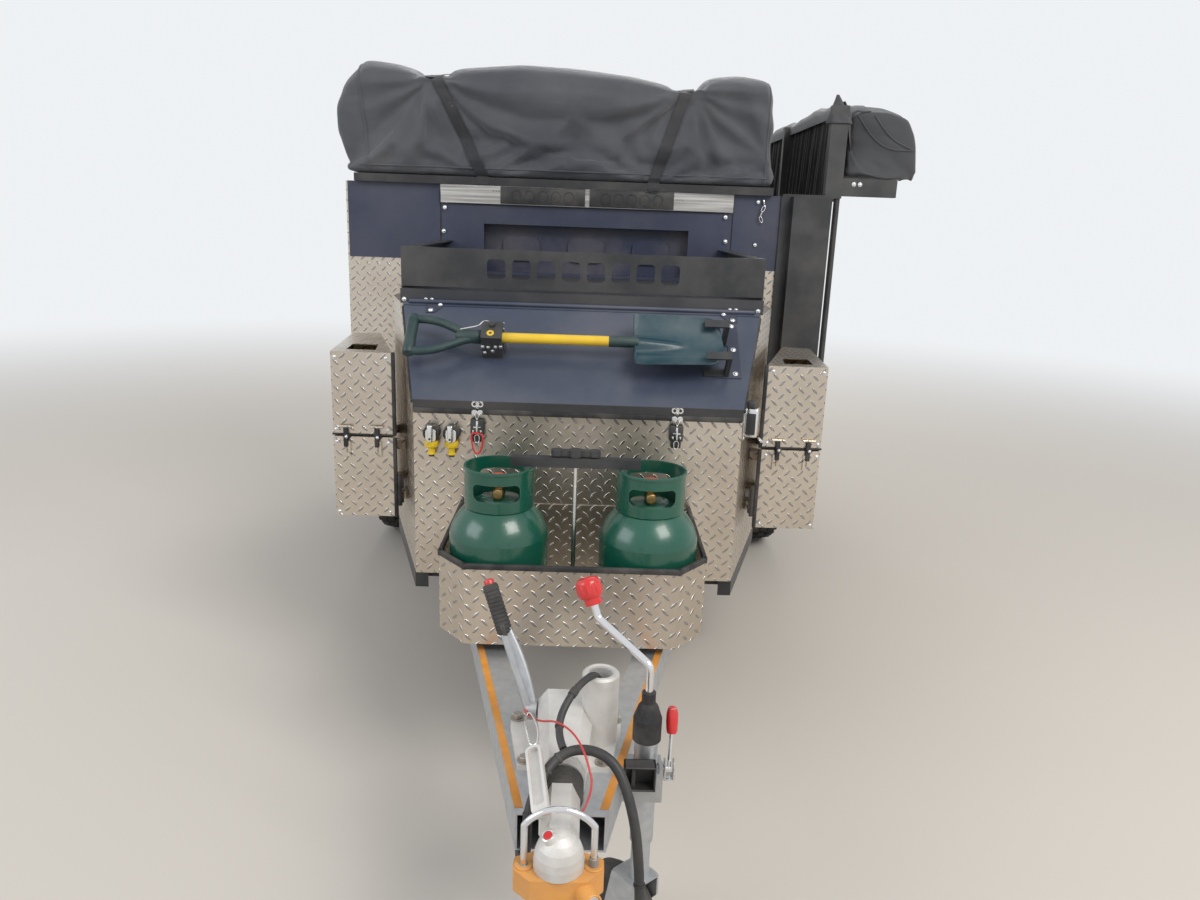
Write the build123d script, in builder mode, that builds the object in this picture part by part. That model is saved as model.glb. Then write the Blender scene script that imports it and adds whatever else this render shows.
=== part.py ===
from build123d import *
import math
import os

# An off-road box camping trailer, folded for the road, parked on its wheels and jockey wheel.
# Millimetres. The origin is the centre of the ball socket, +Y runs rearwards, +Z up.
# +X is the kerb side, which is the trailer's left.

os.makedirs("parts", exist_ok=True)

# Stance
ball_height = 500
ground = -ball_height
sides = (("left", 1), ("right", -1))
running_gap = 0.08
seat_gap = 0.3
door_gap = 5

# Drawbar and chassis, rectangular tube
rail_front = 120
rail_rear = 2090
rail_front_x = 85
rail_splay = math.tan(math.radians(13.2))
rail_width = 70
rail_height = 80
rail_wall = 4
chassis_top = -10
chassis_bottom = chassis_top - rail_height
chassis_rail_x = 520
chassis_rail_width = 50

# Body
body_front_y = 2330
body_rear_y = 4200
body_half = 945
body_wall = 30
floor_thick = 22
floor_top = chassis_top + floor_thick
roof_top = 1160
roof_bottom = roof_top - body_wall

# Wheels and axle
axle_y = 3030
wheel_radius = 400
axle_z = ground + wheel_radius
tyre_width = 265
wheel_x = 840
rim_radius = 208
stub_radius = 22
arch_half = 470
arch_inner = 650
arch_top = 390
arch_corner = 140
arch_sheet = 5

# Nose box
nose_front = 1232
nose_half = 480
nose_slant = 0.31
nose_straight_y = 1760
nose_wall = 20
nose_floor_thick = 10
nose_top = 775
deck_front = 1515
deck_overhang = 2
deck_half = nose_half + nose_slant * (deck_front - nose_front) + deck_overhang
deck_top = 820
deck_sheet = 4

# Nose lid, by its hinge line and the fold at its lower edge
hinge_y = 1507.7
hinge_z = 783
lid_fold_y = 1219
lid_fold_z = 533
lid_thick = 25
lid_lip = 34
lid_gap = 5
hinge_radius = 7

# Gas tray and cylinders
tray_front = 734
tray_front_half = 265
tray_half = 340
tray_chamfer = 90
tray_bottom = 13
tray_top = 222
tray_sheet = 4
cylinder_x = 193
cylinder_y = 872
cylinder_radius = 126.6
collar_radius = 88
collar_top = 442
collar_height = 92

# Water can holders
holder_front = 1391
holder_depth = 440
holder_inner = 572
holder_width = 188
holder_flare = math.tan(math.radians(5.5))
holder_bottom = 112
holder_split = 370
holder_top = 635
holder_sheet = 3

# Roof load
tent_low_x = -body_half + 10
tent_high_x = body_half - 210
tent_front = body_front_y - 40
tent_rear = body_rear_y - 30
tent_base_thick = 30
tent_base_top = roof_top + tent_base_thick
tent_top = roof_top + 472
frame_arm_height = 76
bag_inner = body_half + 58
bag_outer = body_half + 393
bag_bottom = roof_top + frame_arm_height
bag_top = bag_bottom + 294

# Jockey wheel
jockey_x = 165
jockey_y = 290
jockey_tube_radius = 24
jockey_ram_radius = 20
jockey_top = 45
jockey_tube_bottom = -190
jockey_wheel_radius = 100
jockey_wheel_width = 50
jockey_trail = 55
jockey_turn = 40
jockey_travel = 85


def span(x, y, z, mode=Mode.ADD):
    """A block between three pairs of limits."""
    middle = [(low + high) / 2 for low, high in (x, y, z)]
    with Locations(tuple(middle)):
        Box(x[1] - x[0], y[1] - y[0], z[1] - z[0], mode=mode)


def slab(points, z, mode=Mode.ADD):
    """A plan outline extruded between two heights."""
    with BuildSketch(Plane.XY.offset(z[0])) as outline:
        with BuildLine():
            Polyline(*points, close=True)
        make_face()
    extrude(outline.sketch, amount=z[1] - z[0], mode=mode)


def side_slab(points, x, mode=Mode.ADD):
    """A side outline of Y and Z points extruded between two X limits."""
    with BuildSketch(Plane.YZ.offset(x[0])) as outline:
        with BuildLine():
            Polyline(*points, close=True)
        make_face()
    extrude(outline.sketch, amount=x[1] - x[0], mode=mode)


def rod(start, end, radius, mode=Mode.ADD):
    """A round bar between two points."""
    start, end = Vector(*start), Vector(*end)
    along = Plane(origin=start, z_dir=end - start)
    with BuildSketch(along) as section:
        Circle(radius)
    extrude(section.sketch, amount=(end - start).length, mode=mode)


def both(points, sign):
    """Plan points carried to one side of the trailer."""
    return [(sign * x, y) for x, y in points]


def limits(low, high, sign):
    """A pair of X limits carried to one side."""
    return (low, high) if sign > 0 else (-high, -low)


def write(piece, name):
    piece.part.label = name
    export_step(piece.part, f"parts/{name}.step")


def rail_outer(y):
    return rail_front_x + rail_splay * (y - rail_front)


def nose_x(y):
    """Half-width of the nose box at a station along the trailer."""
    return nose_half + nose_slant * (min(y, nose_straight_y) - nose_front)


# Drawbar rails

rail_across = rail_width / math.cos(math.atan(rail_splay))
wall_across = rail_wall / math.cos(math.atan(rail_splay))
with BuildPart() as drawbar_rails:
    for name, sign in sides:
        near, far = rail_outer(rail_front), rail_outer(rail_rear)
        outer = [(near, rail_front), (far, rail_rear)]
        inner = [(far - rail_across, rail_rear), (near - rail_across, rail_front)]
        slab(both(outer + inner, sign), (chassis_bottom, chassis_top))
        outer = [(near - wall_across, rail_front), (far - wall_across, rail_rear)]
        inner = [
            (far - rail_across + wall_across, rail_rear),
            (near - rail_across + wall_across, rail_front),
        ]
        core = (chassis_bottom + rail_wall, chassis_top - rail_wall)
        slab(both(outer + inner, sign), core, Mode.SUBTRACT)
write(drawbar_rails, "drawbar_rails")

# Chassis rails with the stabiliser brackets, and the sills that splay under the nose

cross_depth = 50
chassis_rear = body_rear_y - 50
leg_pivot_y = 4050
leg_pivot_z = -120
leg_width = 30
leg_plate = 6
sill_width = 40
sill_drop = 55
rail_low_x = chassis_rail_x - chassis_rail_width / 2
rail_high_x = chassis_rail_x + chassis_rail_width / 2
with BuildPart() as chassis_rails:
    for name, sign in sides:
        start = rail_rear + cross_depth
        span(
            limits(rail_low_x, rail_high_x, sign),
            (start, chassis_rear),
            (chassis_bottom, chassis_top),
        )
        span(
            limits(rail_low_x + rail_wall, rail_high_x - rail_wall, sign),
            (start, chassis_rear),
            (chassis_bottom + rail_wall, chassis_top - rail_wall),
            Mode.SUBTRACT,
        )
        for edge in (-1, 1):
            middle = chassis_rail_x + edge * (leg_width / 2 + 3 + leg_plate / 2)
            span(
                limits(middle - leg_plate / 2, middle + leg_plate / 2, sign),
                (leg_pivot_y - 30, leg_pivot_y + 30),
                (leg_pivot_z - 25, chassis_bottom),
            )
        sill = [(nose_x(y) - inset, y) for y, inset in (
            (nose_front + 20, 0),
            (nose_straight_y, 0),
            (nose_straight_y, sill_width),
            (nose_front + 20, sill_width),
        )]
        slab(both(sill, sign), (chassis_top - sill_drop, chassis_top))
write(chassis_rails, "chassis_rails")

# Cross members: chassis, nose outriggers and the two bearers under the gas tray

with BuildPart() as cross_members:
    front_half = rail_outer(rail_rear)
    span(
        (-front_half, front_half),
        (rail_rear, rail_rear + cross_depth),
        (chassis_bottom, chassis_top),
    )
    for y in (2480, 3540):
        span(
            (-rail_low_x, rail_low_x),
            (y, y + cross_depth),
            (chassis_bottom, chassis_top),
        )
    span(
        (-rail_high_x, rail_high_x),
        (chassis_rear, chassis_rear + cross_depth),
        (chassis_bottom, chassis_top),
    )
    for y in (790, 1120):
        reach = rail_outer(y) + 10
        span((-reach, reach), (y, y + 40), (chassis_top, tray_bottom))
    for y in (1300, 1650):
        reach = rail_outer(y) - rail_across
        span((-reach, reach), (y, y + 40), (chassis_top - 40, chassis_top))
        for name, sign in sides:
            span(
                limits(rail_outer(y + 40), nose_x(y) - sill_width, sign),
                (y, y + 40),
                (chassis_top - 40, chassis_top),
            )
write(cross_members, "cross_members")

# Overrun housing: a casting bolted across the rails, with a round socket at its rear corner

draw_tube_z = 28
draw_tube_radius = 25
housing_front = 185
housing_rear = 400
socket_x = 70
socket_y = 355
socket_radius = 24.2
socket_outer = 38
socket_top = 150
with BuildPart() as coupling_housing:
    tube = (draw_tube_z, 42)
    with BuildSketch(Plane.XZ.offset(-housing_rear)) as rear_end:
        with BuildLine():
            Polyline((-62, -8), (62, -8), (62, 58), (40, 86), (-40, 86), (-62, 58), close=True)
        make_face()
    with BuildSketch(Plane.XZ.offset(-housing_front)) as front_end:
        with BuildLine():
            Polyline((-42, -8), (42, -8), (42, 40), (26, 66), (-26, 66), (-42, 40), close=True)
        make_face()
    loft([rear_end.sketch, front_end.sketch])
    flange = [(-118, 392), (-118, 440), (118, 440), (118, 392), (92, 250), (-92, 250)]
    slab(flange, (chassis_top, chassis_top + 12))
    rod((0, housing_front - 22, draw_tube_z), (0, housing_front + 2, draw_tube_z), 40)
    rod((socket_x, socket_y, 0), (socket_x, socket_y, socket_top), socket_outer)
    rod((socket_x, socket_y, 60), (socket_x, socket_y, socket_top + 1), socket_radius, Mode.SUBTRACT)
    bore_end = housing_rear - 40
    rod((0, housing_front - 30, draw_tube_z), (0, bore_end, draw_tube_z), draw_tube_radius + 1, Mode.SUBTRACT)
write(coupling_housing, "coupling_housing")

# Rubber bellows between the housing and the coupling head

bellows_rear = housing_front - 22
bellows_front = 112
bellows_folds = 5
with BuildPart() as bellows:
    pitch = (bellows_rear - bellows_front) / bellows_folds
    with BuildSketch(Plane.YZ) as profile:
        with BuildLine():
            crest = []
            for fold in range(bellows_folds):
                crest.append((bellows_front + fold * pitch, 30))
                crest.append((bellows_front + (fold + 0.5) * pitch, 40))
            crest.append((bellows_rear, 30))
            Polyline((bellows_rear, 26), (bellows_front, 26), *crest, close=True)
        make_face()
    tube_axis = Axis((0, 0, 0), (0, 1, 0))
    revolve(profile.sketch, axis=tube_axis, revolution_arc=360)
bellows.part = bellows.part.moved(Location((0, 0, draw_tube_z)))
write(bellows, "bellows")

# Coupling head: cast dome over the ball, a square neck and the sleeve on the draw tube

ball_radius = 25.2
head_bottom = -20
with BuildPart() as coupling_head:
    with BuildSketch(Plane.XZ) as dome:
        with BuildLine():
            Polyline(
                (0, head_bottom), (44, head_bottom), (44, -4), (42, 10), (37, 24), (29, 36),
                (18, 45), (8, 49), (0, 50), close=True,
            )
        make_face()
    revolve(dome.sketch, axis=Axis.Z, revolution_arc=360)
    # The worn-ball button stands on the dome's left
    rod((-14, -12, 36), (-19, -17, 52), 11)
    with BuildSketch(Plane.XZ.offset(-8)) as neck_front:
        with BuildLine():
            Polyline((-34, -14), (34, -14), (34, 26), (18, 48), (-18, 48), (-34, 26), close=True)
        make_face()
    with BuildSketch(Plane.XZ.offset(-bellows_front)) as neck_rear:
        with BuildLine():
            Polyline((-30, -2), (30, -2), (34, 28), (18, 62), (-18, 62), (-34, 28), close=True)
        make_face()
    loft([neck_front.sketch, neck_rear.sketch])
    rod((0, 0, -30), (0, 0, 2), ball_radius, Mode.SUBTRACT)
    Sphere(ball_radius, mode=Mode.SUBTRACT)
    # The hand lever lies along the top left of the neck
    rod((0, bellows_front - 30, draw_tube_z), (0, housing_rear - 60, draw_tube_z), draw_tube_radius)
    lever = Plane(origin=(-30, 16, 62), x_dir=(-0.15, 0.95, 0.2), z_dir=(-0.35, -0.25, 0.94))
    with BuildSketch(lever) as lever_shape:
        with Locations((76, 0)):
            RectangleRounded(156, 30, 12)
    extrude(lever_shape.sketch, amount=14)
    with BuildSketch(lever.offset(4)) as lever_channel:
        with Locations((82, 0)):
            RectangleRounded(132, 20, 8)
    extrude(lever_channel.sketch, amount=20, mode=Mode.SUBTRACT)
    rod((-26, 28, 20), (-26, 28, 70), 11)
write(coupling_head, "coupling_head")

# Hitch lock: a cast body whose plug fills the socket from below, and a round shackle over the head

lock_top = head_bottom - seat_gap
lock_half = 78
lock_leg_x = 60
shackle_radius = 6
with BuildPart() as hitch_lock:
    with BuildSketch(Plane.XY.offset(lock_top - 42)) as lock_plan:
        with BuildLine():
            Polyline(
                (-lock_half, -12), (-48, -40), (48, -40), (lock_half, -12),
                (lock_half, 18), (44, 34), (-44, 34), (-lock_half, 18), close=True,
            )
        make_face()
        fillet(lock_plan.vertices(), 9)
    extrude(lock_plan.sketch, amount=42)
    rod((40, -24, lock_top - 21), (58, -62, lock_top - 21), 17)
    for x in (-lock_leg_x, lock_leg_x):
        rod((x, 0, lock_top - 43), (x, 0, lock_top + 1), shackle_radius + 1, Mode.SUBTRACT)
write(hitch_lock, "hitch_lock")

shackle_rise = 58
with BuildPart() as shackle:
    with BuildLine() as bow:
        left = Line((-lock_leg_x, 0, lock_top - 30), (-lock_leg_x, 0, shackle_rise))
        over = ThreePointArc(
            (-lock_leg_x, 0, shackle_rise),
            (0, 0, shackle_rise + 32),
            (lock_leg_x, 0, shackle_rise),
        )
        right = Line((lock_leg_x, 0, shackle_rise), (lock_leg_x, 0, lock_top - 30))
    with BuildSketch(Plane(origin=(-lock_leg_x, 0, lock_top - 30), z_dir=(0, 0, 1))) as wire:
        Circle(shackle_radius)
    sweep(wire.sketch, path=bow.line, transition=Transition.ROUND)
write(shackle, "shackle")

# Wiring: the tow lead with its plug, the loom that joins it, and the breakaway cable.
# Each is straight runs joined by tangent arcs, as large as the runs allow.

lead_radius = 9.5
loom_radius = 7.5
breakaway_radius = 2
under_rail = chassis_bottom - lead_radius - seat_gap
plug_radius = 21
plug_length = 88


def cord(points, radius, name):
    corners = [Vector(*point) for point in points]
    runs = [after - before for before, after in zip(corners, corners[1:])]
    bends = []
    for before, after in zip(runs, runs[1:]):
        turn_angle = math.radians(before.get_angle(after))
        bends.append(0.45 * min(before.length, after.length) / math.tan(turn_angle / 2))
    print(name, "bend radii", [round(bend) for bend in bends])
    with BuildPart() as tube:
        with BuildLine() as route:
            FilletPolyline(*points, radius=bends)
        with BuildSketch(Plane(origin=corners[0], z_dir=runs[0])) as section:
            Circle(radius)
        sweep(section.sketch, path=route.line)
    length = sum(edge.length for edge in route.line.edges())
    volume = math.pi * radius**2 * length
    print(name, "length", round(length), "volume over section times length", round(tube.part.volume / volume, 4))
    write(tube, name)
    return runs[-1].normalized()


lead_route = [
    (-90, 300, under_rail),
    (-84, 214, under_rail),
    (-74, 112, under_rail - 14),
    (-60, 66, -62),
    (-60, 84, 44),
    (-2, 168, 100),
    (92, 138, 108),
    (132, 92, 20),
    (146, 62, -92),
    (148, 56, -160),
]
lead_end = cord(lead_route, lead_radius, "tow_lead")

with BuildPart() as tow_plug:
    lead_tip = Vector(*lead_route[-1]) + lead_end * seat_gap
    plug_plane = Plane(origin=lead_tip, z_dir=lead_end)
    with BuildSketch(plug_plane) as sleeve:
        Circle(lead_radius + 4)
    extrude(sleeve.sketch, amount=32)
    with BuildSketch(plug_plane.offset(30)) as barrel_section:
        Circle(plug_radius)
    extrude(barrel_section.sketch, amount=plug_length - 30)
    with BuildSketch(plug_plane.offset(plug_length - 14)) as collar_section:
        Circle(plug_radius + 5)
    extrude(collar_section.sketch, amount=8)
write(tow_plug, "tow_plug")

loom_route = [(-0.2, 163.9, 98.5), (-18.4, 205.2, 114.6), (16, 270, 164), (74, 362, 160), (74, 362, 60 + seat_gap)]
cord(loom_route, loom_radius, "lead_branch")

breakaway_route = [
    (-74, 363.1, 45.5),
    (-88, 332, 82),
    (-78, 284, 96),
    (-50, 240, 106),
    (-14, 198, 136),
    (24, 160, 130),
    (46, 116, 104),
    (58, 86, 66),
    (37, 62, 38),
]
cord(breakaway_route, breakaway_radius, "breakaway_cable")

# Handbrake lever: flat steel from the housing's left, with a round grip

brake_foot = (-76, 385, 44)
brake_tip = (-173, 480, 285)
with BuildPart() as handbrake_lever:
    along = Vector(*brake_tip) - Vector(*brake_foot)
    with BuildSketch(Plane(origin=brake_foot, x_dir=(0, 1, -0.4), z_dir=along)) as blade:
        Rectangle(34, 9)
    extrude(blade.sketch, amount=along.length * 0.68)
    grip_start = Vector(*brake_foot) + along * 0.62
    rod(tuple(grip_start), brake_tip, 15)
    rod((-62, 385, 44), (-84, 385, 44), 20)
write(handbrake_lever, "handbrake_lever")

# Jockey wheel: clamp, outer tube with crank, ram, fork and wheel

clamp_top = -15
clamp_bottom = -80
with BuildPart() as jockey_clamp:
    clamp_plan = [
        (rail_outer(jockey_y - 34), jockey_y - 34),
        (jockey_x + 34, jockey_y - 34),
        (jockey_x + 34, jockey_y + 34),
        (rail_outer(jockey_y + 34), jockey_y + 34),
    ]
    slab(clamp_plan, (clamp_bottom, clamp_top))
    grip = jockey_tube_radius + 0.5
    rod((jockey_x, jockey_y, clamp_bottom - 1), (jockey_x, jockey_y, clamp_top + 1), grip, Mode.SUBTRACT)
    span((jockey_x + 20, jockey_x + 40), (jockey_y - 4, jockey_y + 4), (clamp_bottom, clamp_top), Mode.SUBTRACT)
    rod((jockey_x + 34, jockey_y - 20, -10), (jockey_x + 50, jockey_y - 20, -10), 5)
    span((jockey_x + 26, jockey_x + 34), (jockey_y - 34, jockey_y - 10), (clamp_top, 0))
    rod((jockey_x + 46, jockey_y - 20, -10), (jockey_x + 50, jockey_y, 62), 4)
    rod((jockey_x + 50, jockey_y, 60), (jockey_x + 50, jockey_y + 12, 108), 9)
write(jockey_clamp, "jockey_clamp")

boot_top = 148
with BuildPart() as jockey_tube:
    rod((jockey_x, jockey_y, jockey_tube_bottom), (jockey_x, jockey_y, jockey_top), jockey_tube_radius)
    bore = jockey_ram_radius + running_gap
    rod((jockey_x, jockey_y, jockey_tube_bottom - 1), (jockey_x, jockey_y, jockey_top - 20), bore, Mode.SUBTRACT)
write(jockey_tube, "jockey_tube")

with BuildPart() as jockey_boot:
    with BuildSketch(Plane.XZ) as boot_profile:
        with BuildLine():
            Polyline(
                (0, jockey_top), (29, jockey_top), (29, 92), (20, 118), (14, 126), (14, boot_top),
                (0, boot_top), close=True,
            )
        make_face()
    revolve(boot_profile.sketch, axis=Axis.Z, revolution_arc=360)
jockey_boot.part = jockey_boot.part.moved(Location((jockey_x, jockey_y, 0)))
write(jockey_boot, "jockey_boot")

with BuildPart() as jockey_crank:
    foot = (jockey_x, jockey_y, boot_top)
    bend = (jockey_x, jockey_y, 205)
    elbow = (60, jockey_y + 70, 272)
    tip = (50, jockey_y + 78, 300)
    with BuildLine() as crank_line:
        FilletPolyline(foot, bend, elbow, tip, radius=18)
    with BuildSketch(Plane(origin=foot, z_dir=(0, 0, 1))) as crank_section:
        Circle(8)
    sweep(crank_section.sketch, path=crank_line.line, transition=Transition.ROUND)
    knob = Vector(*tip) - Vector(*elbow)
    knob = knob.normalized()
    base = Vector(*tip)
    rod(tuple(base), tuple(base + knob * 52), 17)
write(jockey_crank, "jockey_crank")

fork_top = ground + 2 * jockey_wheel_radius + 18
with BuildPart() as jockey_ram:
    ram_top = jockey_top - 20 - jockey_travel - running_gap
    rod((jockey_x, jockey_y, fork_top + seat_gap), (jockey_x, jockey_y, ram_top), jockey_ram_radius)
write(jockey_ram, "jockey_ram")

turn = math.radians(jockey_turn)
trail = (-math.sin(turn), math.cos(turn))
axle = (math.cos(turn), math.sin(turn))
jockey_hub = (
    jockey_x + jockey_trail * trail[0],
    jockey_y + jockey_trail * trail[1],
    ground + jockey_wheel_radius,
)
fork_inside = jockey_wheel_width / 2 + 5
fork_sheet = 5
with BuildPart() as jockey_fork:
    frame_plane = Plane(origin=(jockey_x, jockey_y, fork_top), x_dir=(*axle, 0), z_dir=(0, 0, 1))
    with BuildSketch(frame_plane) as crown:
        with Locations((0, 12)):
            RectangleRounded(2 * (fork_inside + fork_sheet), 74, 8)
    extrude(crown.sketch, amount=-fork_sheet)
    for edge in (-1, 1):
        cheek = Plane(
            origin=(
                jockey_x + edge * fork_inside * axle[0],
                jockey_y + edge * fork_inside * axle[1],
                0,
            ),
            x_dir=(*trail, 0),
            z_dir=(edge * axle[0], edge * axle[1], 0),
        )
        up = cheek.y_dir.Z
        with BuildSketch(cheek) as cheek_shape:
            with BuildLine():
                low = jockey_hub[2] - 14
                Polyline(
                    (-24, up * (fork_top - fork_sheet / 2)),
                    (48, up * (fork_top - fork_sheet / 2)),
                    (jockey_trail + 16, up * (jockey_hub[2] + 8)),
                    (jockey_trail + 16, up * low),
                    (jockey_trail - 16, up * low),
                    (-24, up * (fork_top - 50)),
                    close=True,
                )
            make_face()
        extrude(cheek_shape.sketch, amount=fork_sheet)
    reach = fork_inside + fork_sheet + 4
    pin = [Vector(*jockey_hub) + Vector(edge * reach * axle[0], edge * reach * axle[1], 0) for edge in (-1, 1)]
    rod(tuple(pin[0]), tuple(pin[1]), 8)
write(jockey_fork, "jockey_fork")

with BuildPart() as jockey_wheel:
    half = jockey_wheel_width / 2
    with BuildSketch(Plane.XZ) as tread:
        with BuildLine():
            Polyline(
                (8 + running_gap, -half), (30, -half), (30, -half + 8), (70, -half + 8),
                (74, -half), (92, -half), (100, -half + 12), (100, half - 12), (92, half),
                (74, half), (70, half - 8), (30, half - 8), (30, half), (8 + running_gap, half),
                close=True,
            )
        make_face()
    revolve(tread.sketch, axis=Axis.Z, revolution_arc=360)
wheel_place = Plane(origin=jockey_hub, z_dir=(*axle, 0)).location
jockey_wheel.part = jockey_wheel.part.moved(wheel_place)
write(jockey_wheel, "jockey_wheel")

# Gas tray, cylinders and the bar that holds them down

tray_plan = [
    (-tray_front_half, tray_front),
    (tray_front_half, tray_front),
    (tray_half, tray_front + tray_chamfer),
    (tray_half, nose_front),
    (-tray_half, nose_front),
    (-tray_half, tray_front + tray_chamfer),
]
with BuildPart() as gas_tray:
    slab(tray_plan, (tray_bottom, tray_top))
    with BuildSketch(Plane.XY.offset(tray_bottom + tray_sheet)) as well:
        with BuildLine():
            Polyline(*tray_plan, close=True)
        make_face()
        offset(amount=-tray_sheet, kind=Kind.INTERSECTION, mode=Mode.REPLACE)
    extrude(well.sketch, amount=tray_top, mode=Mode.SUBTRACT)
write(gas_tray, "gas_tray")

tray_floor = tray_bottom + tray_sheet
shoulder = 262
collar_bottom = collar_top - collar_height
collar_sheet = 4
collar_sink = 12
with BuildPart() as bottle:
    collar_span = (collar_bottom - collar_sink, collar_top)
    rod((0, 0, collar_span[0]), (0, 0, collar_span[1]), collar_radius)
    rod((0, 0, collar_span[0] - 1), (0, 0, collar_span[1] + 1), collar_radius - collar_sheet, Mode.SUBTRACT)
    with BuildSketch(Plane.XZ) as shell_profile:
        with BuildLine():
            Polyline((0, tray_floor + 30), (0, tray_floor), (92, tray_floor), (92, tray_floor + 26))
            Line((92, tray_floor + 26), (cylinder_radius - 14, tray_floor + 34))
            ThreePointArc(
                (cylinder_radius - 14, tray_floor + 34),
                (cylinder_radius - 3, tray_floor + 44),
                (cylinder_radius, tray_floor + 62),
            )
            Line((cylinder_radius, tray_floor + 62), (cylinder_radius, shoulder))
            ThreePointArc(
                (cylinder_radius, shoulder),
                (cylinder_radius - 22, shoulder + 52),
                (50, collar_bottom + 8),
            )
            Polyline((50, collar_bottom + 8), (0, collar_bottom + 14), (0, tray_floor + 30))
        make_face()
    revolve(shell_profile.sketch, axis=Axis.Z, revolution_arc=360)
    with BuildSketch(Plane.XZ.offset(-collar_radius - 10)) as hand_windows:
        with Locations((0, collar_bottom + 38)):
            RectangleRounded(116, 44, 14)
    extrude(hand_windows.sketch, amount=2 * collar_radius + 20, mode=Mode.SUBTRACT)
    valve_foot = collar_bottom
    rod((0, 0, valve_foot), (0, 0, valve_foot + 46), 14)
    rod((0, 0, valve_foot + 24), (0, -38, valve_foot + 24), 9)
    rod((0, 0, valve_foot + 46), (0, 0, valve_foot + 64), 22)
with BuildPart() as gas_cylinders:
    for x in (-cylinder_x, cylinder_x):
        add(bottle.part.moved(Location((x, cylinder_y, 0))))
write(gas_cylinders, "gas_cylinders")

bar_half = 165
bar_size = 25
with BuildPart() as gas_clamp:
    span(
        (-bar_half, bar_half),
        (cylinder_y - bar_size / 2, cylinder_y + bar_size / 2),
        (collar_top, collar_top + bar_size),
    )
    rod((0, cylinder_y, tray_floor), (0, cylinder_y, collar_top + 40), 5)
    rod((0, cylinder_y, collar_top + bar_size - 1), (0, cylinder_y, collar_top + 46), 14)
    with BuildSketch(Plane.XY.offset(collar_top + 30)) as wings:
        for edge in (-1, 1):
            with Locations((edge * 48, cylinder_y)):
                Circle(15)
            with Locations((edge * 26, cylinder_y)):
                Rectangle(44, 16)
        with Locations((0, cylinder_y)):
            Circle(20)
    extrude(wings.sketch, amount=15)
write(gas_clamp, "gas_clamp")

# Nose box: floor, front plate, slanted sides and the deck over them

slope_y = hinge_y - lid_fold_y
slope_z = hinge_z - lid_fold_z
slope = math.atan2(slope_z, slope_y)
down = (-math.cos(slope), -math.sin(slope))
inward = (math.sin(slope), -math.cos(slope))


def on_lid(along, depth):
    """A Y and Z point, by its distance down the lid from the hinge and its depth below."""
    return (
        hinge_y + along * down[0] + depth * inward[0],
        hinge_z + along * down[1] + depth * inward[1],
    )


rim_depth = lid_gap + lid_thick + lid_gap
rim_low = on_lid(600, rim_depth)
rim_high = on_lid(-60, rim_depth)
above_rim = [rim_low, (rim_low[0], nose_top + 200), (rim_high[0], nose_top + 200), rim_high]
side_start = nose_front + nose_wall
toggle_x = 290
toggle_low = 412
valve_x = (-424, -366)
valve_z = 428
with BuildPart() as nose_front_plate:
    front_plan = [
        (-nose_x(nose_front), nose_front),
        (nose_x(nose_front), nose_front),
        (nose_x(side_start), side_start),
        (-nose_x(side_start), side_start),
    ]
    slab(front_plan, (chassis_top, nose_top))
    side_slab(above_rim, (-700, 700), Mode.SUBTRACT)
    for x in (-toggle_x, toggle_x):
        face = (nose_front - 9, nose_front + 1)
        span((x - 14, x + 14), face, (toggle_low, toggle_low + 62))
        rod((x, nose_front - 11, toggle_low + 8), (x, nose_front - 11, toggle_low + 58), 5)
    for x in valve_x:
        rod((x, nose_front + 1, valve_z), (x, nose_front - 22, valve_z), 15)
        rod((x, nose_front - 22, valve_z - 34), (x, nose_front - 22, valve_z + 30), 12)
        rod((x, nose_front - 22, valve_z + 4), (x, nose_front - 46, valve_z + 4), 8)
        span((x - 6, x + 6), (nose_front - 54, nose_front - 44), (valve_z - 12, valve_z + 34))
write(nose_front_plate, "nose_front")

ledge = 5
ledge_width = 20
with BuildPart() as nose_sides:
    for name, sign in sides:
        wall_plan = [
            (nose_x(side_start), side_start),
            (nose_x(nose_straight_y), nose_straight_y),
            (nose_x(nose_straight_y), body_front_y),
            (nose_x(nose_straight_y) - nose_wall, body_front_y),
            (nose_x(nose_straight_y) - nose_wall, nose_straight_y),
            (nose_x(side_start) - nose_wall, side_start),
        ]
        slab(both(wall_plan, sign), (chassis_top, nose_top))
        ledge_plan = [
            (deck_half - ledge_width, deck_front + 30),
            (nose_x(deck_front + 30) - 2, deck_front + 30),
            (nose_x(nose_straight_y) - 2, nose_straight_y),
            (nose_x(nose_straight_y) - 2, body_front_y),
            (deck_half - ledge_width, body_front_y),
        ]
        slab(both(ledge_plan, sign), (nose_top - ledge, nose_top))
    side_slab(above_rim, (-700, 700), Mode.SUBTRACT)
write(nose_sides, "nose_sides")

with BuildPart() as nose_deck:
    span((-deck_half, deck_half), (deck_front, body_front_y), (nose_top, deck_top))
    span(
        (-deck_half + deck_sheet, deck_half - deck_sheet),
        (deck_front + deck_sheet, body_front_y),
        (nose_top - 1, deck_top - deck_sheet),
        Mode.SUBTRACT,
    )
write(nose_deck, "nose_deck")

# Nose lid with its hinge barrel and folded lip

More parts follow.
